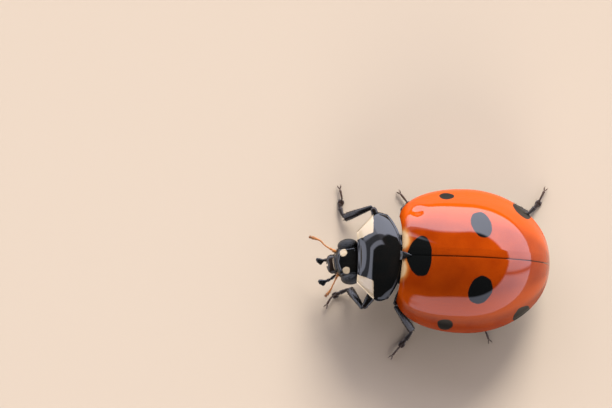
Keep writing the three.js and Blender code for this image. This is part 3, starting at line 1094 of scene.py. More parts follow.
@dataclass
class WingCases:
    """The two wing cases, each a thin domed shell with a beaded margin and a turned-in edge below.

    Lengths are in mm from a middle station, where the cases are widest. The arch is the angle round a case, 0
    at its margin and a quarter turn at the suture.

    Attributes:
        crown, rim: Height of the dome over the margin, and of the margin over the floor.
        front_close, outline_power: How far the outline has closed at the base, and how late.
        front_drop, drop_power: Share of its height that the crown loses at the base, and how late.
        ridge_power, dome_power: Powers of the section's width and height.
        ridge_easing, dome_squaring: What these lose towards the base.
        bead_end: Length before the hind tip over which the bead fades.
    """

    half_width: float = 2.64
    front_length: float = 2.454
    rear_length: float = 3.155
    crown: float = 2.6
    rim: float = 0.95
    shoulder_lift: float = 0.12
    front_close: float = 0.85
    front_drop: float = 0.262
    drop_power: float = 1.61
    shoulder_round: float = 0.12
    shoulder_reach: float = 0.12
    base_recess: float = 0.14
    front_share: float = 0.45
    outline_power: float = 2.2
    ridge_power: float = 1.31
    ridge_easing: float = 0.30
    dome_power: float = 0.715
    dome_squaring: float = 0.33
    base_bevel: float = 0.10
    base_bevel_reach: float = 0.06
    bevel_width: float = 0.30
    right_bevel_drop: float = 0.035
    seam: float = 0.005
    thickness: float = 0.13
    turned_edge: float = 0.52
    edge_lift: float = 0.10
    edge_from: float = 0.82
    edge_narrowing: float = 0.55
    across_count: int = 241
    along_count: int = 171
    callus_at: Pair = (1.69, -1.84)
    callus_size: Pair = (0.22, 0.26)
    callus_heights: Pair = (0.006, 0.07)
    bead: Ridge = Ridge(0.040, 0.020)
    bead_groove: Ridge = Ridge(-0.022, 0.030, 0.065)
    bead_end: float = 0.35
    spots: tuple[Spot, ...] = (
        Spot((0.03, -1.69), (0.73, 0.45), taper=0.20),
        Spot((-1.21, 0.52), (0.50, 0.36), 26.0),
        Spot((1.18, 0.56), (0.52, 0.42), -26.0),
        Spot((-2.28, -0.76), (0.14, 0.26)),
        Spot((2.41, -0.65), (0.17, 0.28), above=1.30),
        Spot((-1.89, 2.03), (0.20, 0.42), -39.0),
        Spot((1.87, 2.17), (0.19, 0.37), 39.0),
    )
    base_marks: tuple[Spot, ...] = (Spot((-0.56, -2.36), (0.38, 0.31)), Spot((0.48, -2.36), (0.38, 0.26)))

    def ahead(self, y: Array) -> Array:
        """Share of the way from the middle of the body to the base edge."""
        return np.clip(-y / self.front_length, 0.0, 1.0)

    def rear_fall(self, y: Array) -> Array:
        """How far the cases still are open at a station behind the middle, from 1 to 0."""
        return np.sqrt(1.0 - np.clip(y / self.rear_length, 0.0, 1.0) ** 2)

    def outline(self, y: Array) -> Array:
        """Half width of both cases at a station."""
        closing = (1.0 - (self.ahead(y) * self.front_close) ** self.outline_power) ** (1.0 / 3.0)
        from_base = np.maximum(y + self.front_length, 0.0)
        corner = 1.0 - self.shoulder_round * np.exp(-from_base / self.shoulder_reach)
        return self.half_width * closing * corner * self.rear_fall(y)

    def level(self, y: Array) -> Array:
        """Height of the margin at a station."""
        return self.rim + self.shoulder_lift * self.ahead(y) ** 3

    def height(self, y: Array) -> Array:
        """Height of the crown over the margin at a station."""
        return self.crown * (1.0 - self.front_drop * self.ahead(y) ** self.drop_power) * self.rear_fall(y)

    def recipe(self) -> Recipe:
        """Builds the tree that shapes one wing case.

        Returns:
            The recipe, whose Side input is 1 for the beetle's left.
        """
        made = Recipe("wing case shell")
        tree = made.tree
        side = made.number("Side", 1.0)
        half_width = made.number("Half Width", self.half_width)
        front = made.number("Front Length", self.front_length)
        rear = made.number("Rear Length", self.rear_length)
        crown = made.number("Crown", self.crown)
        rim = made.number("Rim", self.rim)
        thickness = made.number("Thickness", self.thickness)
        turned_edge = made.number("Turned Edge", self.turned_edge)
        callus = made.number("Callus Height", 0.0)
        bevel_drop = made.number("Bevel Drop", 0.0)
        stuff = made.stuff("Finish")

        grid = add_node(
            tree,
            "GeometryNodeMeshGrid",
            Size_X=1.0,
            Size_Y=1.0,
            Vertices_X=self.across_count,
            Vertices_Y=self.along_count,
        ).outputs["Mesh"]
        grid_x, grid_y, _ = made.position()
        inner = grid_x.math("GREATER_THAN", 0.0)
        s = (grid_x * 2.0).size().from_one()
        v = (grid_y + 0.5).most(0.0) ** 1.5
        ahead = (v / self.front_share).from_one().most(0.0)
        behind = ((v - self.front_share) / (1.0 - self.front_share)).most(0.0)
        sweep = (behind * QUARTER).math("SINE").least(1.0)
        y = rear * sweep - front * ahead
        rear_fall = (sweep * sweep).from_one().root()
        corner = (((y + front) / -self.shoulder_reach).math("EXPONENT") * self.shoulder_round).from_one()
        closing = ((ahead * self.front_close) ** self.outline_power).from_one() ** (1.0 / 3.0)
        half = half_width * closing * corner * rear_fall
        height = crown * (ahead**self.drop_power * self.front_drop).from_one() * rear_fall
        level = rim + ahead**3.0 * self.shoulder_lift

        # The closing share is 0 at the base edge, where the inner face meets the outer one.
        ending = (v / 0.012).least(1.0).from_one()
        close = (ending * ending).from_one().root()
        arch = s.ease(0.0, 1.0).from_one() * QUARTER
        inner_arch = (s / self.edge_from).ease(0.0, 1.0).from_one() * QUARTER
        band = ((s - self.edge_from) / (1.0 - self.edge_from)).most(0.0)
        narrowing = (y / self.rear_length).most(0.0) * self.edge_narrowing
        edge = (turned_edge * narrowing.from_one()).least(half * 0.5) * close
        wall = thickness.least(height * 0.4) * close * (s * 14.0).least(1.0)
        lift = (half * 0.2).least(self.edge_lift) * close
        angle = arch + (inner_arch - arch) * close * inner
        reach = half - edge * inner - self.seam
        ridge_power = (ahead * ahead * -self.ridge_easing) + self.ridge_power
        x = reach * angle.math("COSINE").most(0.0) ** ridge_power + edge * band * inner + self.seam
        dome_power = (ahead * ahead * -self.dome_squaring) + self.dome_power
        rise = angle.math("SINE").most(0.0) ** dome_power
        across = x / half.most(0.01)
        recess = (across * across).from_one().most(0.0) * (ahead * ahead) * self.base_recess
        groove = (x - self.seam).bell(0.025) * -0.004
        base_bevel = ((y + front) / -self.base_bevel_reach).math("EXPONENT") * -self.base_bevel * rise
        bevel = ((x / -self.bevel_width) + 1.0).most(0.0) * -bevel_drop + base_bevel
        hem = lift * band.from_one() * rise.from_one() * inner
        z = level + (height - wall * inner) * rise + hem + groove + bevel

        # The margin mask says where the wing finish draws the bead and the rim's underside darker brown.
        margin = (arch.bell(0.03) * inner.from_one()).most(inner * band.from_one().bell(0.22))
        held = made.keep(grid, "margin", margin.most(0.0) * rear_fall.ease(0.0, 0.05))
        held = made.keep(held, "outside", inner.from_one() * ending.from_one())
        held = made.keep(held, "arch", arch)
        shaped = made.moved(held, x, y + recess, z)

        # The margin's bead and the shoulder's callus are raised along the normal.
        x, y, _ = made.position()
        outside = Num(tree, made.attribute("outside"))
        rim_arch = Num(tree, made.attribute("arch"))
        bead, dip = ((rim_arch - at.at).bell(at.width) * at.height for at in (self.bead, self.bead_groove))
        knob_x, knob_y = x - self.callus_at[0], y - self.callus_at[1]
        knob = knob_x.bell(self.callus_size[0]) * knob_y.bell(self.callus_size[1]) * callus
        fading = (y - (self.rear_length - self.bead_end)).ease(self.bead_end, 0.0)
        raised = ((bead + dip) * fading + knob) * outside
        # The grid's faces point inwards once it is bent, so the height is taken off.
        out = tree.nodes.new("ShaderNodeVectorMath")
        out.operation = "SCALE"
        feed(tree, out.inputs[0], tree.nodes.new("GeometryNodeInputNormal").outputs[0])
        feed(tree, out.inputs["Scale"], -raised)
        dressed = add_node(tree, "GeometryNodeSetPosition", Geometry=shaped, Offset=out.outputs["Vector"])
        welded = add_node(tree, "GeometryNodeMergeByDistance", Geometry=dressed.outputs[0], Distance=WELD)
        x, y, z = made.position()
        made.serve(made.moved(welded.outputs[0], x * side, y, z), stuff)
        return made

    def build(self) -> None:
        """Makes both wing cases."""
        finish = WingFinish(self.spots, self.base_marks).material()
        recipe = self.recipe()
        for name, side in (("left", 1.0), ("right", -1.0)):
            right = side < 0
            drop = self.right_bevel_drop if right else 0.0
            callus = self.callus_heights[right]
            inputs = {"Side": side, "Bevel_Drop": drop, "Callus_Height": callus, "Finish": finish}
            mesh = recipe.cook(f"wing_case_{name}", seed_mesh(), **inputs)
            turn_out(mesh)
            Cast.place(f"wing_case_{name}", mesh, [finish], WING_SEAT, [f"elytron_{name}"], "wing_case")


# ---- pronotum and prothorax


@dataclass(frozen=True)
class CornerMark:
    """A mark that fills both front corners of the pronotum, out to a thin dark edge line.

    Attributes:
        rear: Where it ends at the back.
        inner: Its inner boundary's distance from the middle line, at reach.
        reach: The y at which the inner boundary is measured.
        slant: How fast that boundary spreads towards the rear.
    """

    rear: float = -0.185
    inner: float = 0.79
    reach: float = -0.42
    slant: float = 0.44

    def mask(self, place: Place, wobble: Num, edge: float) -> Num:
        """Draws the mark.

        Args:
            place: Where it is drawn.
            wobble: What makes its edge uneven, in mm.
            edge: Half the width in mm over which it fades.

        Returns:
            1 on the mark and 0 off it.
        """
        border = (place.y - self.reach) * self.slant + self.inner
        inside = border - place.x.size() + wobble
        behind = place.y - self.rear + wobble
        depth = inside.math("SMOOTH_MAX", behind, 0.09)
        return depth.ease(edge, -edge)


@dataclass
class Shield:
    """The pronotum: a domed shield with beaded sides over the front of the body.

    Attributes:
        widening, widening_share: How much wider than its front it gets, and by which share of its length.
        rear_sweep, rear_power: How far the rear edge draws back to the sides, and how late.
        corner_share: How much of the middle line's rise the sides don't share.
        fall: How much lower the sides are than the middle line.
        roll: Slope across, up to the left.
        lip: How far below the sides' edge the under face hangs.
        hem, hem_arch: Width of the turned-in sides, and the angle that they take.
    """

    front_half_width: float = 0.93
    widening: float = 0.71
    widening_share: float = 0.8
    front: float = -0.74
    corner_reach: float = 0.06
    rear: float = 0.9
    rear_sweep: float = 0.63
    rear_power: float = 2.2
    front_crown: float = 2.10
    rear_crown: float = 2.78
    crown_power: float = 2.7
    corner_share: float = 0.8
    fall: float = 0.56
    roll: float = 0.05
    corner_round: float = 0.11
    corner_from: float = 0.68
    lip: float = 1.58
    thickness: float = 0.11
    hem: float = 0.22
    hem_arch: float = 0.42
    side_lines: tuple[Ridge, ...] = (Ridge(0.016, 0.10), Ridge(-0.008, 0.09, 0.26))
    hind_lines: tuple[Ridge, ...] = (Ridge(0.012, 0.016), Ridge(-0.012, 0.016, 0.045))
    front_lines: tuple[Ridge, ...] = (Ridge(0.008, 0.02), Ridge(-0.004, 0.02, 0.05))
    columns: int = 161
    rows: int = 101

    def crown(self, v: Array) -> Array:
        """Height of the shield's middle line at a share of its length."""
        return self.rear_crown - (self.rear_crown - self.front_crown) * (1.0 - v) ** self.crown_power

    def surface(self, arch: Array, v: Array, inward: Array | float = 0.0) -> Array:
        """Points of the shield's upper face.

        Args:
            arch: Angle across, 0 at the left edge and half a turn at the right one.
            v: Share of the length, from the front.
            inward: How far the points are drawn in from the sides.

        Returns:
            The points.
        """
        widened = np.sin(np.minimum(1.0, v / self.widening_share) * QUARTER)
        widest = self.front_half_width + self.widening
        corner = self.corner_round * np.clip((v - self.corner_from) / (1.0 - self.corner_from), 0.0, 1.0) ** 2
        half = self.front_half_width + self.widening * widened - corner - inward
        x = half * np.cos(arch)
        share = np.minimum(1.0, np.abs(x) / widest)
        rear = self.rear - self.rear_sweep * share**self.rear_power
        front = self.front - self.corner_reach * np.cos(arch) ** 2
        across = np.cos(arch) ** 2
        corner_lift = (self.rear_crown - self.crown(v)) * self.corner_share
        z = self.crown(v) + (corner_lift - self.fall) * across + self.roll * x
        return np.stack([x, mix(front, rear, v), z], axis=-1)

    def mesh(self) -> Mesh:
        """Shapes the shield: its upper face, and an under face that hangs down at the sides first.

        Returns:
            The mesh, in the shield's seat.
        """
        u = smooth(steps(self.columns))[None]
        v = smooth(steps(self.rows))[:, None] + 0.0 * u
        arch = u * math.pi + 0.0 * v
        outer = self.surface(arch, v)
        normal = facing(outer)
        normal *= np.sign(normal[self.rows // 2, self.columns // 2, 2])
        from_side = np.minimum(arch, math.pi - arch)
        lines = ((self.side_lines, from_side), (self.hind_lines, 1.0 - v), (self.front_lines, v))
        bead, hind, fore = (sum(line.over(distance) for line in group) for group, distance in lines)
        raised = normal * (bead + (hind + fore) * smooth(from_side / 0.3))[..., None]
        close = rounded(np.minimum(v, 1.0 - v) / 0.03)
        side = np.clip(from_side / self.hem_arch, 0.0, 1.0)
        drawn = self.hem * np.sin(side * math.pi) ** 0.7 * close
        wall = self.thickness * close * smooth(side * 2.0)
        under = self.surface(arch, v, drawn) - normal * wall[..., None]
        hang = np.maximum(np.where(arch < QUARTER, outer[:, :1, 2], outer[:, -1:, 2]) - self.lip, 0.0)
        under[..., 2] -= hang * np.sin(side * math.pi) ** 1.2 * close
        edge = (from_side < 1e-6) | (close < 1e-6)
        outer = outer + raised
        under = np.where(edge[..., None], outer, under)
        clay = Clay()
        clay.sheet(outer, under)
        return clay.mesh("pronotum_shield")

    def build(self) -> None:
        """Makes the shield."""
        finish = ShellFinish("pronotum_black", SHIELD_SEAT, (CornerMark(),), roughness=0.16).material()
        Cast.place("pronotum_shield", self.mesh(), [finish], SHIELD_SEAT, ["pronotum"], "black_shell")


@dataclass
class Neck:
    """The prothorax under the shield: a short barrel that carries the front legs."""

    shield: Shield
    rear: float = 0.94
    front: float = -0.62
    half_width: float = 1.02
    neck_share: float = 0.62
    roundness: float = 0.14
    belly: float = 0.60
    throat: float = 0.87
    front_level: float = 1.4
    rear_level: float = 1.14
    crown_share: float = 0.9
    room: float = 0.44
    end_share: float = 0.06
    keel: Ridge = Ridge(0.035, 0.16)
    seam: Ridge = Ridge(-0.03, 0.03)
    seam_share: float = 0.62
    rows: int = 81
    sides: int = 96

    def build(self) -> None:
        """Makes the prothorax."""
        share = steps(self.rows)
        v = np.clip((share - self.end_share) / (1.0 - 2.0 * self.end_share), 0.0, 1.0)
        cap = rounded(np.minimum(share, 1.0 - share) / self.end_share)
        angle = turns(self.sides)[None]
        swell = 1.0 - self.roundness * (1.0 - np.sin(v * math.pi))
        level = mix(self.front_level, self.rear_level, v)
        half = self.half_width * swell * mix(self.neck_share, 1.0, np.sqrt(v)) * cap
        rise = (self.shield.crown(v) - level - self.room) * self.crown_share * cap
        drop = (level - mix(self.throat, self.belly, np.sqrt(v))) * cap
        y = mix(self.front, self.rear, v) - 0.05 * (1.0 - cap) * np.sign(0.5 - share)
        sine = np.sin(angle)
        x = half[:, None] * np.cos(angle)
        z = level[:, None] + np.where(sine > 0.0, rise[:, None] * sine, drop[:, None] * sine)
        keel = self.keel.over(x) * smooth(-sine * 2.0)
        seam = self.seam.over(np.abs(x) - self.seam_share * half[:, None]) * smooth(-sine * 3.0)
        grid = np.stack([x, y[:, None] + 0.0 * x, z - (keel + seam) * cap[:, None]], axis=-1)
        clay = Clay()
        clay.grid(grid)
        finish = ShellFinish(
            "prothorax_black", SHIELD_SEAT, roughness=0.3, pits_per_mm=11.0, pit_depth=0.004, coat=0.5
        )
        coat = Coat(46.0, 0.07, (0.0, 1.0, -0.2), seed=3)
        mesh = coat.over("prothorax_barrel", clay.mesh("prothorax_barrel"), 1)
        looks = [finish.material(), Palette.HAIR.material()]
        Cast.place("prothorax_barrel", mesh, looks, SHIELD_SEAT, ["prothorax"], "black_shell")


# ---- head


@dataclass
class Head:
    """The head: capsule, faceted eyes, labrum, mandibles and the underside of the mouth."""

    radii: Triple = (0.70, 0.66, 0.44)
    squareness: float = 0.8
    muzzle_narrowing: float = 0.30
    muzzle_share: float = 0.86
    eye_at: Triple = (0.60, 0.08, 0.10)
    eye_radii: Triple = (0.245, 0.385, 0.30)
    labrum_at: Triple = (0.0, -0.60, -0.01)
    labrum_radii: Triple = (0.35, 0.22, 0.15)
    brow: Ridge = Ridge(-0.022, 0.035, -0.36)
    socket: Ridge = Ridge(-0.05, 0.075)
    socket_at: Pair = (0.37, -0.43)
    orbit: Ridge = Ridge(0.016, 0.09, 1.16)
    orbit_furrow: Ridge = Ridge(-0.012, 0.06, 1.0)
    middle: Ridge = Ridge(0.010, 0.05)
    rings: int = 97
    sides: int = 128
    marks: tuple[Spot, ...] = (
        Spot((-0.33, -0.04), (0.13, 0.14), above=0.0),
        Spot((0.33, 0.0), (0.13, 0.14), above=0.0),
        Spot((0.0, -0.505), (0.31, 0.030), above=0.0),
    )

    def capsule(self) -> Mesh:
        """Shapes the capsule.

        Returns:
            The mesh, in the head's seat.
        """
        grid = ball((0.0, 0.0, 0.0), (1.0, 1.0, 1.0), self.rings, self.sides)
        x, y, z = axes(grid)
        narrow = 1.0 - self.muzzle_narrowing * np.maximum(0.0, -y) ** 2
        y = np.where(y < 0.0, y * self.muzzle_share, y)
        x, z = filled(x, self.squareness), filled(z, self.squareness)
        place = np.stack([x * self.radii[0] * narrow, y * self.radii[1], z * self.radii[2]], axis=-1)
        around = np.concatenate([grid[:, -1:], grid, grid[:, :1]], axis=1)
        normal = facing(around * np.array(self.radii))[:, 1:-1]
        outward = np.sign(np.sum(normal * place, axis=-1, keepdims=True))
        x, y, z = axes(place)
        side = np.abs(x)
        brow = self.brow.over(y - 0.25 * x**2) * smooth((0.42 - side) / 0.1)
        socket = self.socket.over(np.hypot(side - self.socket_at[0], y - self.socket_at[1]))
        middle = self.middle.over(x) * smooth((y + 0.3) / 0.2)
        from_eye = (np.stack([side, y, z], axis=-1) - self.eye_at) / self.eye_radii
        ring = np.linalg.norm(from_eye, axis=-1)
        orbit = self.orbit.over(ring) + self.orbit_furrow.over(ring)
        raised = (brow + socket - middle) * smooth(z / 0.12) + orbit
        place = place + normal * outward * raised[..., None]
        clay = Clay()
        clay.grid(place)
        return clay.mesh("head_capsule")

    def jaw(self, side: float) -> Array:
        """One mandible, curved in under the labrum."""
        bends = [(0.27 * side, -0.50, -0.14), (0.25 * side, -0.74, -0.17), (0.03 * side, -0.875, -0.16)]
        path = through(bends, 24)
        share = steps(24)
        half = 0.085 * (1.0 - share**1.6) ** 0.6 + 0.001
        return loft(path, half, half * 0.7, sides=16)

    def mouth(self) -> Mesh:
        """Shapes labrum, mandibles, mentum and the palps' roots.

        Returns:
            The mesh: tag 0 is black, 1 is horn.
        """
        clay = Clay()
        plate = ball(self.labrum_at, self.labrum_radii, 33, 48, 0.72)
        front = np.clip((self.labrum_at[1] - plate[..., 1]) / self.labrum_radii[1], 0.0, 1.0)
        plate[..., 1] += 0.05 * front * bell(plate[..., 0], 0.10)
        clay.grid(plate)
        clay.grid(ball((0.0, -0.42, -0.30), (0.24, 0.26, 0.12), 21, 32, 0.8))
        clay.grid(ball((0.0, -0.60, -0.24), (0.13, 0.15, 0.07), 17, 24, 0.85))
        for side in (1.0, -1.0):
            clay.grid(ball((0.30 * side, -0.42, -0.24), (0.12, 0.2, 0.1), 17, 24, 0.85))
            clay.grid(self.jaw(side), tag=1)
            for k in range(3):
                at = (0.09 * side + 0.03 * k * side, -0.70 - 0.07 * k, -0.26 - 0.01 * k)
                clay.grid(ball(at, (0.032 - 0.004 * k, 0.048, 0.03 - 0.004 * k), 11, 14), tag=1)
        return clay.mesh("mouthparts")

    def eye_recipe(self) -> Recipe:
        """Builds the tree of one eye: a ball of six-sided lenses.

        Returns:
            The recipe.
        """
        made = Recipe("faceted eye")
        tree = made.tree
        wide, long, tall = (made.number(f"Radius {axis}", 1.0) for axis in "XYZ")
        lens = made.number("Lens Height", 0.004)
        share = made.number("Lens Share", 0.62)
        stuff = made.stuff("Finish")
        ico = add_node(tree, "GeometryNodeMeshIcoSphere", Radius=1.0, Subdivisions=5)
        cells = add_node(tree, "GeometryNodeDualMesh", Mesh=ico.outputs["Mesh"])
        x, y, z = made.position()
        shaped = made.moved(cells.outputs[0], x * wide, y * long, z * tall)
        raised = add_node(tree, "GeometryNodeExtrudeMesh", Mesh=shaped, Offset_Scale=lens, Individual=True)
        capped = add_node(
            tree,
            "GeometryNodeScaleElements",
            Geometry=raised.outputs["Mesh"],
            Selection=raised.outputs["Top"],
            Scale=share,
        )
        made.serve(capped.outputs[0], stuff)
        return made

    def build(self) -> None:
        """Makes the head's pieces."""
        shell = ShellFinish(
            "head_black", HEAD_SEAT, self.marks, roughness=0.22, pits_per_mm=12.0, pit_depth=0.005
        )
        skull = Coat(34.0, 0.05, (0.0, -1.0, 0.1), seed=11).over("head_capsule", self.capsule(), 1)
        looks = [shell.material(), Palette.HAIR.material()]
        Cast.place("head_capsule", skull, looks, HEAD_SEAT, ["head"], "black_shell")
        mouth = Coat(60.0, 0.06, (0.0, -1.0, -0.1), seed=12).over("mouthparts", self.mouth(), 2)
        black = ShellFinish(
            "mouth_black", HEAD_SEAT, colour=PITCH_BROWN, roughness=0.3, pits_per_mm=15.0, coat=0.6
        )
        looks = [black.material(), Palette.CLAW.material(), Palette.HAIR.material()]
        Cast.place("mouthparts", mouth, looks, HEAD_SEAT, ["labrum"], "black_shell")
        lens = ShellFinish("eye_black", HEAD_SEAT, pit_depth=0.0, roughness=0.14).material()
        recipe = self.eye_recipe()
        inputs = {f"Radius_{axis}": radius for axis, radius in zip("XYZ", self.eye_radii)}
        for name, side in (("left", 1.0), ("right", -1.0)):
            eye = recipe.cook(f"eye_lenses_{name}", seed_mesh(), **inputs, Finish=lens)
            eye.transform(Matrix.Translation((side * self.eye_at[0], self.eye_at[1], self.eye_at[2])))
            Cast.place(f"eye_lenses_{name}", eye, [lens], HEAD_SEAT, [f"eye_{name}"], "eye")


# ---- feelers


@dataclass(frozen=True)
class Joint:
    """One segment of a feeler: its share of the length and its half thickness in mm."""

    share: float
    half: float


@dataclass
class Feelers:
    """Antennae of eleven segments with a three-segment club, and palps with a hatchet-shaped end."""

    antenna_paths: dict[str, tuple[Triple, ...]] = field(
        default_factory=lambda: {
            "left": ((0.42, -4.62, 1.40), (0.88, -4.84, 1.36), (1.10, -4.95, 1.28), (1.29, -5.12, 1.15)),
            "right": ((-0.30, -4.68, 1.43), (-0.56, -5.12, 1.42), (-0.76, -5.32, 1.40), (-0.90, -5.71, 1.30)),
        }
    )
    palp_paths: dict[str, tuple[Triple, ...]] = field(
        default_factory=lambda: {
            "left": ((0.36, -4.60, 1.00), (0.62, -4.89, 0.98), (0.70, -5.06, 0.96), (0.80, -5.34, 0.92)),
            "right": ((-0.10, -4.62, 1.00), (-0.10, -4.88, 0.98), (-0.06, -5.14, 0.96), (0.0, -5.43, 0.93)),
        }
    )
    antenna_joints: tuple[Joint, ...] = (
        Joint(0.16, 0.058), Joint(0.09, 0.044), Joint(0.11, 0.029), Joint(0.075, 0.028), Joint(0.075, 0.028),
        Joint(0.065, 0.031), Joint(0.065, 0.034), Joint(0.07, 0.039), Joint(0.09, 0.050), Joint(0.09, 0.062),
        Joint(0.09, 0.054),
    )
    palp_joints: tuple[Joint, ...] = (
        Joint(0.18, 0.042), Joint(0.30, 0.052), Joint(0.17, 0.056), Joint(0.35, 0.030),
    )

    def recipe(self) -> Recipe:
        """Builds the tree that strings segments on a path.

        Returns:
            The recipe, whose points carry "way", "half", "reach" and "along".
        """
        made = Recipe("segments on a path")
        tree = made.tree
        swell = made.number("Swell", 0.22)
        stuff = made.stuff("Finish")
        bead = add_node(tree, "GeometryNodeMeshUVSphere", Segments=20, Rings=14, Radius=1.0)
        x, y, z = made.position()
        round_off = (z * z).from_one().root().most(0.05)
        fuller = round_off**0.45 / round_off * (z * swell + 1.0)
        half = Num(tree, made.attribute("half"))
        reach = Num(tree, made.attribute("reach"))
        strung = add_node(
            tree,
            "GeometryNodeInstanceOnPoints",
            Points=made.geometry(),
            Instance=made.moved(bead.outputs["Mesh"], x * fuller, y * fuller, z),
            Rotation=made.aimed(made.attribute("way", "FLOAT_VECTOR")),
            Scale=joined(tree, half, half, reach),
        )
        made.serve(strung.outputs["Instances"], stuff)
        return made

    @staticmethod
    def stations(points: Sequence[Triple], joints: Sequence[Joint], overlap: float) -> Mesh:
        """One point for each segment of a feeler.

        Args:
            points: The feeler's path.
            joints: Its segments.
            overlap: How much longer a segment is than its share.

        Returns:
            Loose points with the attributes that the recipe reads.
        """
        path = through(points, 200)
        length = float(np.sum(np.linalg.norm(np.diff(path, axis=0), axis=1)))
        ends = np.cumsum([0.0] + [joint.share for joint in joints])
        ends /= ends[-1]
        spots = sampled(path, steps(len(path)), ends)
        middles, ways = (spots[:-1] + spots[1:]) / 2, unit(np.diff(spots, axis=0))
        reach = np.diff(ends) * length / 2 * overlap
        return seed_mesh(
            middles.tolist(),
            way=ways,
            half=np.array([joint.half for joint in joints]),
            reach=reach,
            along=steps(len(joints)),
        )

    @staticmethod
    def hatchet(points: Sequence[Triple]) -> Array:
        """The last segment of a palp: flat, widening to a slanted edge."""
        path = through(points, 120)[78:]
        share = steps(len(path))
        end = rounded((1.0 - share) / 0.30)
        wide = (0.045 + 0.095 * smooth(share / 0.75)) * end + 0.0005
        deep = (0.036 + 0.02 * share) * end + 0.0005
        grid = loft(path, wide, deep, sides=28)
        ahead = unit(path[-1] - path[0])
        slant = (grid - path[:, None]) @ beside(ahead)
        return grid + ahead * (slant * share[:, None] * 0.45)[..., None]

    def build(self) -> None:
        """Makes both antennae and both palps."""
        recipe = self.recipe()
        horn = HornFinish("feeler_horn", AMBER, PITCH_BROWN, 0.3, 20.0, 0.002, (0.7, 1.25)).material()
        for name in ("left", "right"):
            points = self.stations(self.antenna_paths[name], self.antenna_joints, 1.12)
            feeler = recipe.cook(f"feeler_{name}", points, Swell=0.24, Finish=horn)
            path = self.antenna_paths[name]
            down = Coat(240.0, 0.035, tuple(np.subtract(path[-1], path[0])), seed=21, lean=0.7)
            feeler = down.over(f"feeler_{name}", feeler, 1)
            looks = [horn, Palette.HAIR.material()]
            Cast.place(f"feeler_{name}", feeler, looks, BODY_SEAT, [f"antenna_{name}"], "feeler")
            roots = self.stations(self.palp_paths[name], self.palp_joints, 1.1)
            stem = recipe.cook(f"palp_segments_{name}", roots, Swell=0.3, Finish=Palette.LIMB.material())
            clay = Clay()
            clay.grid(self.hatchet(self.palp_paths[name]))
            whole = one_mesh("palp", (stem, 0), (clay.mesh("hatchet"), 0))
            whole = Coat(160.0, 0.035, (0.0, -1.0, 0.0), seed=22).over(f"palp_segments_{name}", whole, 1)
            looks = [Palette.LIMB.material(), Palette.HAIR.material()]
            Cast.place(f"palp_segments_{name}", whole, looks, BODY_SEAT, [f"palp_{name}"], "leg")


# ---- trunk


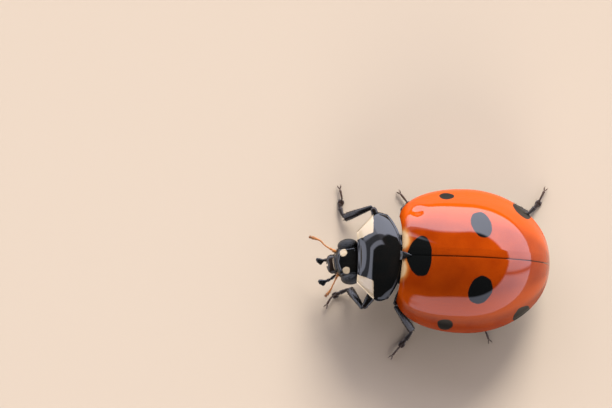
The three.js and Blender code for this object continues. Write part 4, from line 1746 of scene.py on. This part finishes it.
@dataclass
class Trunk:
    """The underside: thorax plates and overlapping belly plates under the wing cases, and the scutellum.

    Attributes:
        split_at: Where the abdomen starts.
        hind_gap: How far before the cases' tip it ends.
        belly: Height of the belly over the floor.
        fullness, power: How late and how fast the belly rises to the tip.
        tuck: How far it reaches over the cases' turned edge.
        lift, room: How far its sides are above the margin, and its back below the crown.
        plate_ends, plate_step: Where the belly plates end, and how far each stands over the next.
    """

    cases: WingCases
    front: float = -2.17
    split_at: float = -0.45
    belly: float = 0.5
    fullness: float = 2.5
    power: float = 0.45
    tuck: float = 0.04
    hind_gap: float = 0.24
    lift: float = 0.07
    room: float = 0.42
    squareness: float = 0.75
    blend: float = 0.08
    seam_depth: float = 0.035
    corner_patches: tuple[Spot, ...] = (
        Spot((-1.62, -1.93), (0.34, 0.17), -20.0),
        Spot((1.62, -1.93), (0.34, 0.17), 20.0),
    )
    plate_ends: tuple[float, ...] = (-0.62, 0.34, 0.84, 1.28, 1.68, 2.04, 2.40, 3.3)
    plate_step: float = 0.035
    sides: int = 144

    @property
    def last(self) -> float:
        """The station of its hind end."""
        return self.cases.rear_length - self.hind_gap

    def section(self, y: Array, cap: Array) -> Array:
        """Rings of the trunk.

        Args:
            y: The rings' stations.
            cap: How far each ring is open, from 0 at a closed end to 1.

        Returns:
            Rings by sides by 3.
        """
        cases = self.cases
        hem = cases.turned_edge * (1.0 - cases.edge_narrowing * np.maximum(0.0, y) / cases.rear_length)
        half = np.maximum(cases.outline(y) - hem + self.tuck, 0.002) * cap
        level = cases.level(y) + self.lift
        rise = np.maximum(cases.height(y) - self.room, 0.01) * cap
        share = np.clip(y / self.last, 0.0, 1.0)
        drop = ((cases.rim - self.belly) * (1.0 - share**self.fullness) ** self.power + self.lift) * cap
        angle = turns(self.sides)[None]
        sine = np.sin(angle)
        below = drop[:, None] * filled(sine, self.squareness)
        x = half[:, None] * np.cos(angle)
        z = level[:, None] + np.where(sine > 0.0, rise[:, None] * sine, below)
        return np.stack([x, y[:, None] + 0.0 * x, z], axis=-1)

    def belly_plates(self) -> Array:
        """The abdomen's rings, with each belly plate's hind edge standing over the next."""
        t = steps(261)
        y = mix(self.split_at + 0.02, self.last, np.sin(t * QUARTER) * 0.35 + t * 0.65)
        cap = rounded(t / 0.015) * rounded((1.0 - t) / 0.02)
        grid = self.section(y, np.maximum(cap, 1e-4))
        x, place, z = axes(grid)
        under = smooth((self.cases.level(place) + 0.05 - z) / self.blend)
        bowed = place + 0.10 * (x / 1.8) ** 2
        rise = np.zeros_like(place)
        for start, end in zip(self.plate_ends, self.plate_ends[1:]):
            share = np.clip((bowed - start) / (end - start), 0.0, 1.0)
            inside = (bowed >= start) & (bowed < end)
            rise = np.where(inside, self.plate_step * share * smooth((1.0 - share) / 0.04), rise)
        arc = -0.02 * bell(np.hypot((np.abs(x) - 0.95) / 1.15, place + 0.42) - 0.52, 0.02)
        rise = rise + arc * (place < 0.25)
        grid[..., 2] -= rise * under * cap[:, None]
        return grid

    def thorax_plates(self) -> Array:
        """The thorax's rings, with the seams between its plates."""
        t = steps(181)
        y = mix(self.front, self.split_at, t)
        cap = rounded(t / 0.05) * rounded((1.0 - t) / 0.02)
        grid = self.section(y, np.maximum(cap, 1e-4))
        x, place, z = axes(grid)
        under = smooth((self.cases.level(place) + 0.05 - z) / self.blend)
        half = np.maximum(self.cases.outline(place), 0.1)
        side = np.abs(x) / half
        furrow = bell(x, 0.03) * smooth((place + 1.35) / 0.15)
        middle = bell(place + 1.52 - 0.08 * np.cos(x * 3.0), 0.025) * smooth((0.62 - side) / 0.1)
        flank = bell(side - 0.66 - 0.05 * place, 0.014) * smooth((place + 1.75) / 0.1)
        epimeron = bell(place + 1.62 - 0.5 * (side - 0.5), 0.025) * smooth((side - 0.5) / 0.1)
        grid[..., 2] += self.seam_depth * (furrow + middle + flank + epimeron) * under * cap[:, None]
        return grid

    def scutellum(self) -> Mesh:
        """Shapes the scutellum, a small triangle lying on the wing cases' bases.

        Returns:
            The mesh, in the wing cases' seat.
        """
        front, rear, half = -2.40, -1.955, 0.165
        along = steps(25)[:, None]
        across = np.linspace(-1.0, 1.0, 25)[None]
        y = mix(front, rear, along) + 0.0 * across
        wide = half * (1.0 - along**1.4) + 0.001
        x = wide * across
        length, recess = self.cases.front_length, self.cases.base_recess
        base = recess - length
        root = np.clip(length**2 + 4.0 * recess * np.maximum(y, base), 0.0, None)
        ahead = (length - np.sqrt(root)) / (2.0 * recess)
        crown = self.cases.crown * (1.0 - self.cases.front_drop * ahead**self.cases.drop_power)
        z = self.cases.rim + self.cases.shoulder_lift * ahead**3 + crown - 0.9 * np.maximum(0.0, base - y)
        dome = 0.02 + 0.02 * (1.0 - across**2) * np.sin(along * math.pi)
        top = np.stack([x, y, z + dome], axis=-1)
        depth = 0.08 + 0.42 * np.maximum(0.0, 1.0 - along * 3.0)
        below = np.stack([x * 0.98, y, z - depth + 0.0 * x], axis=-1)
        edge = np.zeros(x.shape, bool)
        edge[0], edge[-1], edge[:, 0], edge[:, -1] = True, True, True, True
        below = np.where(edge[..., None], top, below)
        clay = Clay()
        clay.sheet(top, below)
        return clay.mesh("scutellum_plate")

    def build(self) -> None:
        """Makes thorax, abdomen and scutellum."""
        dull = {"roughness": 0.34, "coat": 0.4}
        patches = self.corner_patches
        finishes = {
            "thorax": ShellFinish("thorax_black", WING_SEAT, patches, pit_depth=0.008, **dull),
            "abdomen": ShellFinish("belly_black", WING_SEAT, pits_per_mm=10.0, pit_depth=0.007, **dull),
        }
        for node, shape in (("thorax", self.thorax_plates()), ("abdomen", self.belly_plates())):
            clay = Clay()
            under = smooth((self.cases.level(shape[..., 1]) - shape[..., 2]) / 0.1)
            clay.grid(shape, along=under)
            coat = Coat(32.0, 0.075, (0.0, 1.0, -0.15), seed=31, spread=1.0)
            whole = coat.over(f"{node}_plates", clay.mesh(node), 1)
            looks = [finishes[node].material(), Palette.HAIR.material()]
            Cast.place(f"{node}_plates", whole, looks, WING_SEAT, [node], "black_shell")
        small = ShellFinish(
            "scutellum_black", WING_SEAT, roughness=0.3, pits_per_mm=16.0, pit_depth=0.004, coat=0.5
        )
        looks = [small.material()]
        Cast.place("scutellum_plate", self.scutellum(), looks, WING_SEAT, ["scutellum"], "black_shell")


# ---- legs


class Rank(Enum):
    """Which pair a leg belongs to."""

    FRONT = "front"
    MIDDLE = "middle"
    HIND = "hind"


@dataclass(frozen=True)
class Build:
    """How stout the legs of one pair are, in mm: half sizes, the tibia's at its knee and at its end."""

    coxa: Triple
    femur: Pair
    tibia: Pair
    spurs: int


BUILDS = {
    Rank.FRONT: Build((0.27, 0.27, 0.21), (0.19, 0.13), (0.085, 0.155), 1),
    Rank.MIDDLE: Build((0.28, 0.24, 0.17), (0.20, 0.13), (0.085, 0.145), 2),
    Rank.HIND: Build((0.46, 0.19, 0.13), (0.20, 0.13), (0.085, 0.150), 2),
}


@dataclass
class Leg:
    """One leg: coxa, trochanter and femur, then tibia, then a foot of four segments with two claws.

    Attributes:
        side: "left" or "right".
        coxa, knee, ankle: The middle of its coxa, and the tibia's ends, in mm.
        foot: The foot's path on the floor, its last point under the claws' root.
    """

    TROCHANTER: ClassVar[Triple] = (0.125, 0.125, 0.10)  # half sizes in mm
    FEMUR_ARCH: ClassVar[float] = 0.04  # how far its middle is above the straight line, in mm
    TIBIA_ARCH: ClassVar[float] = 0.045
    TIBIA_FLATNESS: ClassVar[float] = 0.62  # its depth as a share of its width
    TIBIA_GROOVE: ClassVar[Ridge] = Ridge(-0.10, 0.02, 0.90)  # the ring before its end, in shares
    ANKLE_HEIGHT: ClassVar[float] = 0.19  # mm over the floor
    FOOT_HEIGHT: ClassVar[float] = 0.075
    LOBE: ClassVar[Triple] = (0.062, 0.115, 0.038)  # half sizes in mm of half a sole
    LOBE_HEIGHT: ClassVar[float] = 0.040

    rank: Rank
    side: str
    coxa: Triple
    knee: Triple
    ankle: Triple
    foot: tuple[Pair, ...]

    @property
    def name(self) -> str:
        """The leg's name, as its nodes have it."""
        return f"{self.rank.value}_{self.side}"

    @property
    def seed(self) -> int:
        """The seed of its hairs."""
        return 40 + 2 * list(Rank).index(self.rank) + (self.side == "left")

    def thigh(self, build: Build) -> Mesh:
        """Shapes coxa, trochanter and femur."""
        coxa, knee = np.array(self.coxa), np.array(self.knee)
        way = unit(knee - coxa)
        clay = Clay()
        root = ball((0.0, 0.0, 0.0), build.coxa, 25, 36, 0.9)
        if self.rank is not Rank.HIND:
            turn = math.atan2(way[1], way[0])
            c, s = math.cos(turn), math.sin(turn)
            x, y, z = axes(root)
            root = np.stack([x * c - y * s, x * s + y * c, z], axis=-1)
        clay.grid(root + coxa)
        start = coxa + way * build.coxa[0] * 0.75
        clay.grid(ball(start + way * 0.04, self.TROCHANTER, 17, 24))
        share = steps(72)
        path = through([start, (start + knee) / 2 + UP * self.FEMUR_ARCH, knee], len(share))
        spindle = 0.62 + 0.38 * np.sin(np.clip(share * 1.12 + 0.02, 0.0, 1.0) * math.pi) ** 0.8
        ends = rounded(share / 0.10) * rounded((1.0 - share) / 0.09)
        wide, deep = (half * spindle * ends + THIN for half in build.femur)
        femur = loft(path, wide, deep, sides=36)
        clay.grid(femur, along=np.abs(share * 2.0 - 1.0) ** 3)
        return clay.mesh(f"femur_{self.name}")

    def shin(self, build: Build) -> Mesh:
        """Shapes the tibia, widening to its end, with its spurs."""
        knee, ankle = np.array(self.knee), np.array(self.low_ankle)
        share = steps(64)
        path = through([knee, (knee + ankle) / 2 + UP * self.TIBIA_ARCH, ankle], len(share))
        ends = rounded(share / 0.06) * rounded((1.0 - share) / 0.05)
        grown = mix(*build.tibia, smooth(share * 1.1) ** 0.8)
        groove = 1.0 + self.TIBIA_GROOVE.over(share)
        tibia = loft(path, grown * ends * groove + THIN, grown * self.TIBIA_FLATNESS * ends + THIN, sides=32)
        clay = Clay()
        clay.grid(tibia, along=share)
        way = unit(ankle - knee)
        side = beside(way)
        for hand in (-1.0, 1.0)[: build.spurs]:
            root = ankle - way * 0.03 + side * hand * 0.05
            tip = root + way * 0.13 + side * hand * 0.035 - UP * 0.03
            thorn = through([root, (root + tip) / 2, tip], 10)
            taper = 0.016 * (1.0 - steps(10)) ** 0.7 + THIN
            clay.grid(loft(thorn, taper, taper, sides=10), tag=1, along=1.0)
        return clay.mesh(f"tibia_{self.name}")

    @property
    def low_ankle(self) -> Triple:
        """The ankle at the height of a real, thin leg."""
        return (self.ankle[0], self.ankle[1], self.ANKLE_HEIGHT)

    def paw(self) -> Mesh:
        """Shapes the foot: a pear, a two-lobed sole, a slim claw segment and two hooked claws."""
        ankle = np.array(self.low_ankle)
        heights = (0.085,) + (self.FOOT_HEIGHT,) * (len(self.foot) - 1)
        line = through([ankle, *((*place, height) for place, height in zip(self.foot, heights))], 160)
        clay = Clay()

        def stretch(start: float, end: float, wide: Array, deep: Array, lift: float | Array = 0.0) -> None:
            """Adds a segment between two shares of the foot's line.

            Args:
                start: Where it starts.
                end: Where it ends.
                wide: Its half widths.
                deep: Its half depths.
                lift: How far it arches over the line.
            """
            at = np.linspace(start, end, len(wide))
            path = sampled(line, np.arange(len(line)), at * (len(line) - 1))
            path[:, 2] += lift
            clay.grid(loft(path, wide, deep, sides=24), along=at)

        share = steps(28)
        ends = rounded(share / 0.12) * rounded((1.0 - share) / 0.12) + 1e-3
        stretch(0.0, 0.36, (0.042 + 0.045 * share) * ends, (0.036 + 0.022 * share) * ends)
        stretch(0.32, 0.50, (0.05 + 0.03 * share) * ends, 0.045 * ends)
        self.lobes(clay, line)
        arched = 0.05 * np.sin(share * 2.6)
        stretch(0.48, 0.98, (0.024 + 0.020 * share) * ends, (0.024 + 0.016 * share) * ends, arched)
        self.claws(clay, line)
        return clay.mesh(f"tarsus_{self.name}")

    @staticmethod
    def lobes(clay: Clay, line: Array) -> None:
        """Adds the two lobes of the second segment, soles on the floor."""
        before, at, after = (line[int(len(line) * share)] for share in (0.42, 0.50, 0.56))
        way = unit(after - before)
        side = beside(way)
        for hand in (1.0, -1.0):
            lobe = ball((0.0, 0.0, 0.0), Leg.LOBE, 21, 28)
            turned = lobe[..., :1] * side + lobe[..., 1:2] * way + lobe[..., 2:] * UP
            middle = at + way * 0.035 + side * hand * 0.055
            middle[2] = Leg.LOBE_HEIGHT
            clay.grid(turned + middle, along=0.5)

    @staticmethod
    def claws(clay: Clay, line: Array) -> None:
        """Adds two hooked claws, each with a tooth at its base."""
        tip = line[-1] + UP * 0.03
        way = unit(line[-1] - line[-14])
        way[2] = 0.0
        side = beside(way)
        for hand in (1.0, -1.0):
            root = tip - way * 0.02 + side * hand * 0.012
            knee = tip + way * 0.06 + side * hand * 0.055 + UP * 0.005
            end = tip + way * 0.135 + side * hand * 0.060
            end[2] = 0.006
            hook = through([root, knee, end], 20)
            taper = 0.020 * (1.0 - steps(20) ** 1.5) ** 0.8 + 2.0 * THIN
            clay.grid(loft(hook, taper, taper, sides=12), tag=1, along=1.0)
            point = tip + way * 0.07 + side * hand * 0.02 - UP * 0.045
            tooth = through([root + way * 0.02, (root + knee) / 2 + way * 0.02, point], 10)
            short = 0.012 * (1.0 - steps(10)) ** 0.8 + 2.0 * THIN
            clay.grid(loft(tooth, short, short, sides=8), tag=1, along=1.0)

    @staticmethod
    def press(foot: Mesh, depth: float = 0.012) -> None:
        """Presses the sole and its hairs on the floor, so that none passes through it.

        Args:
            foot: The foot with its hairs, in mm.
            depth: The height in mm below which they are pressed.
        """
        for vertex in foot.vertices:
            if vertex.co.z < depth:
                vertex.co.z = depth * math.exp(vertex.co.z / depth - 1.0)

    def build(self) -> None:
        """Makes the leg's three parts."""
        build = BUILDS[self.rank]
        coxa, knee, ankle = np.array(self.coxa), np.array(self.knee), np.array(self.low_ankle)
        finishes = (Palette.LIMB, Palette.FOOT, Palette.CLAW, Palette.HAIR, Palette.SOLE)
        limb, foot, claw, hair, sole = (finish.material() for finish in finishes)
        toe = np.array((*self.foot[-1], 0.0)) - ankle
        parts = (
            ("femur", self.thigh(build), [limb, hair], Coat(60.0, 0.06, tuple(knee - coxa), self.seed)),
            ("tibia", self.shin(build), [limb, claw, hair],
             Coat(260.0, 0.075, tuple(ankle - knee), self.seed, 0.55, 0.7)),
            ("tarsus", self.paw(), [foot, claw, sole], Coat(420.0, 0.055, tuple(toe), self.seed, 0.5)),
        )
        for part, mesh, looks, coat in parts:
            name = f"{part}_{self.name}_horn"
            whole = coat.over(name, mesh, len(looks) - 1)
            if part == "tarsus":
                self.press(whole)
            Cast.place(name, whole, looks, BODY_SEAT, [f"{part}_{self.name}"], "leg")


LEGS = (
    Leg(Rank.FRONT, "left", (0.35, -2.83, 0.62), (1.72, -3.73, 0.86), (0.94, -4.23, 0.3),
        ((1.14, -4.7), (1.28, -4.91), (1.54, -5.07))),
    Leg(Rank.FRONT, "right", (-0.5, -2.83, 0.62), (-2.04, -3.37, 0.86), (-1.69, -4.42, 0.3),
        ((-2.11, -4.58), (-2.4, -4.5), (-2.8, -4.58))),
    Leg(Rank.MIDDLE, "left", (0.6, -1.93, 0.52), (1.61, -2.55, 0.86), (2.5, -1.9, 0.3),
        ((2.76, -2.1), (3.1, -2.38), (3.43, -2.66))),
    Leg(Rank.MIDDLE, "right", (-0.6, -1.93, 0.52), (-2.05, -2.25, 0.86), (-1.72, -1.66, 0.3),
        ((-1.95, -1.84), (-2.3, -2.1), (-2.62, -2.35))),
    Leg(Rank.HIND, "left", (0.85, -0.13, 0.48), (2.5, -0.4, 0.74), (1.82, 0.52, 0.3),
        ((2.05, 0.6), (2.45, 0.78), (2.84, 0.94))),
    Leg(Rank.HIND, "right", (-0.85, -0.13, 0.48), (-2.42, 1.2, 0.74), (-1.80, 2.36, 0.3),
        ((-2.18, 2.73), (-2.42, 2.86), (-2.73, 3.02))),
)


# ---- studio


@dataclass(frozen=True)
class Tent:
    """The light tent's panels. Heights are degrees over the horizon, ways are shares from -1 to 1.

    Attributes:
        ambient: The light where no panel hangs.
        top, foot, side: The bright band's edges and strength, each changing with the way.
        opening, opening_skew: Where the band sets in behind the open front, and its turn.
        front_foot, front: The front panel's lower edge and strength.
        step_from, step: From which way it is higher, and how much.
        bar, gap: Depths of the dark bar and of the dark gap to the rear.
    """

    strength: float = 0.86
    tint: Ink = (0.94, 0.97, 1.16)
    ambient: float = 0.02
    top: float = 41.2
    top_to_right: float = 4.85
    top_to_rear: float = 3.7
    top_blur: float = 1.6
    foot: float = -6.0
    foot_to_right: float = 15.0
    foot_blur: float = 1.2
    side: float = 4.1
    side_to_right: float = 2.2
    opening: Pair = (-0.69, -0.60)
    opening_skew: float = 0.17
    front_to_rear: Pair = (-0.66, -0.76)
    front_to_right: Pair = (-0.55, -0.35)
    step_from: float = 0.3
    step: float = 55.0
    front_foot: float = 30.5
    front_blur: float = 1.5
    front: float = 3.6
    bar_height: float = 18.0
    bar_halves: Pair = (5.4, 3.8)
    bar_to_rear: Pair = (-0.35, -0.60)
    bar: float = 0.85
    gap_slant: float = 0.0085
    gap_at: float = 0.15
    gap_width: float = 0.045
    gap_to_rear: Pair = (0.6, 0.8)
    gap: float = 0.8

    def hang(self) -> None:
        """Hangs the tent: a bright band above the horizon, open and dark overhead and in front."""
        world = bpy.data.worlds.new("tent")
        bpy.context.scene.world = world
        world.use_nodes = True
        tree = world.node_tree
        tree.nodes.clear()
        x, y, z = split(tree, tree.nodes.new("ShaderNodeTexCoord").outputs["Generated"])
        level = (x * x + y * y).root().most(1e-4)
        to_right, to_rear = -(x / level), y / level
        height = z.math("ARCSINE") * (180.0 / math.pi)
        top = to_right * self.top_to_right - to_rear.most(0.0) * self.top_to_rear + self.top
        foot = to_right.most(0.0) * self.foot_to_right + self.foot
        between = (height - top).ease(self.top_blur, -self.top_blur)
        between = between * (height - foot).ease(-self.foot_blur, self.foot_blur)
        opening = (to_rear + to_right * self.opening_skew).ease(*self.opening)
        in_front = to_rear.ease(*self.front_to_rear) * to_right.ease(*self.front_to_right)
        in_step = height - (to_right - self.step_from).most(0.0) * self.step
        front = (in_step - self.front_foot).ease(self.front_blur, -self.front_blur) * in_front * self.front
        bar = (in_step - self.bar_height).size().ease(*self.bar_halves) * to_rear.ease(*self.bar_to_rear)
        gap = (to_right + height * self.gap_slant + self.gap_at).bell(self.gap_width)
        gap = gap * to_rear.ease(*self.gap_to_rear)
        side = (to_right * self.side_to_right + self.side) * between * opening * (gap * self.gap).from_one()
        glow = side.most(front) * (bar * self.bar).from_one()
        light = add_node(tree, "ShaderNodeBackground", Color=(*self.tint, 1.0))
        feed(tree, light.inputs["Strength"], (glow + self.ambient) * self.strength)
        output = tree.nodes.new("ShaderNodeOutputWorld")
        tree.links.new(light.outputs["Background"], output.inputs["Surface"])


@dataclass(frozen=True)
class Lamp:
    """A soft lamp, which draws shadows and isn't mirrored in the shell. Lengths are in m.

    Attributes:
        way: The direction it hangs in.
    """

    name: str
    way: Triple
    watts: float
    tint: Ink
    distance: float = 3.0
    size: float = 1.44

    def hang(self) -> None:
        """Hangs the lamp."""
        data = bpy.data.lights.new(self.name, "AREA")
        data.shape, data.size, data.energy, data.color = "DISK", self.size, self.watts, self.tint
        lamp = bpy.data.objects.new(self.name, data)
        back = Vector(self.way).normalized()
        lamp.location = back * self.distance
        lamp.rotation_mode = "QUATERNION"
        lamp.rotation_quaternion = back.to_track_quat("Z", "Y")
        lamp.visible_glossy = False
        bpy.context.scene.collection.objects.link(lamp)


@dataclass
class Studio:
    """The floor, the light tent, the lamps and the camera.

    Attributes:
        aim, distance: What the camera looks at, and how far off it is, in mm.
        tilt: How far it leans to the beetle's left, in degrees.
        field: The width in mm that it sees at that distance.
    """

    floor_size: float = 6.0
    floor_colour: Ink = (0.335, 0.272, 0.208)
    floor_roughness: float = 0.9
    floor_mirroring: float = 0.05
    tent: Tent = Tent()
    lamps: tuple[Lamp, ...] = (
        Lamp("main_lamp", (-0.87, 0.25, 0.42), 270.0, (1.0, 0.98, 0.94)),
        Lamp("fill_lamp", (0.86, 0.10, 0.34), 66.0, (1.0, 0.92, 0.84)),
    )
    aim: Triple = (-2.48, -4.545, 0.95)
    distance: float = 200.0
    tilt: float = 5.0
    field: float = 22.58
    sensor: float = 36.0
    clip: Pair = (0.005, 20.0)

    def floor(self) -> None:
        """Lays the floor."""
        mesh = bpy.data.meshes.new("floor")
        half = self.floor_size / 2
        corners = [(-half, -half, 0), (half, -half, 0), (half, half, 0), (-half, half, 0)]
        mesh.from_pydata(corners, [], [(0, 1, 2, 3)])
        paint = Paint("studio_floor")
        paint.colour(self.floor_colour)
        paint.gloss(self.floor_roughness)
        paint.shader.inputs["Specular IOR Level"].default_value = self.floor_mirroring
        mesh.materials.append(paint.material)
        floor = bpy.data.objects.new("floor", mesh)
        bpy.context.scene.collection.objects.link(floor)

    def camera(self) -> None:
        """Sets the camera, nearly straight above, leaning towards the beetle's left."""
        data = bpy.data.cameras.new("camera")
        data.sensor_width = self.sensor
        data.lens = data.sensor_width * self.distance / self.field
        data.clip_start, data.clip_end = self.clip
        lean = math.radians(self.tilt)
        back = Vector((math.sin(lean), 0.0, math.cos(lean)))
        camera = bpy.data.objects.new("camera", data)
        camera.location = (Vector(self.aim) + back * self.distance) * MM
        camera.rotation_mode = "QUATERNION"
        camera.rotation_quaternion = (-back).to_track_quat("-Z", "Y")
        bpy.context.scene.collection.objects.link(camera)
        bpy.context.scene.camera = camera

    def build(self) -> None:
        """Builds the studio."""
        bpy.context.scene.view_settings.view_transform = "Standard"
        self.floor()
        self.tent.hang()
        for lamp in self.lamps:
            lamp.hang()
        self.camera()


def main() -> None:
    """Builds the ladybird and its studio."""
    logging.basicConfig(level=logging.INFO, format="%(name)s: %(message)s")
    Studio().build()
    cases = WingCases()
    cases.build()
    Trunk(cases).build()
    shield = Shield()
    shield.build()
    Neck(shield).build()
    Head().build()
    Feelers().build()
    for leg in LEGS:
        leg.build()
    log.info("done")


if __name__ == "__main__":
    main()
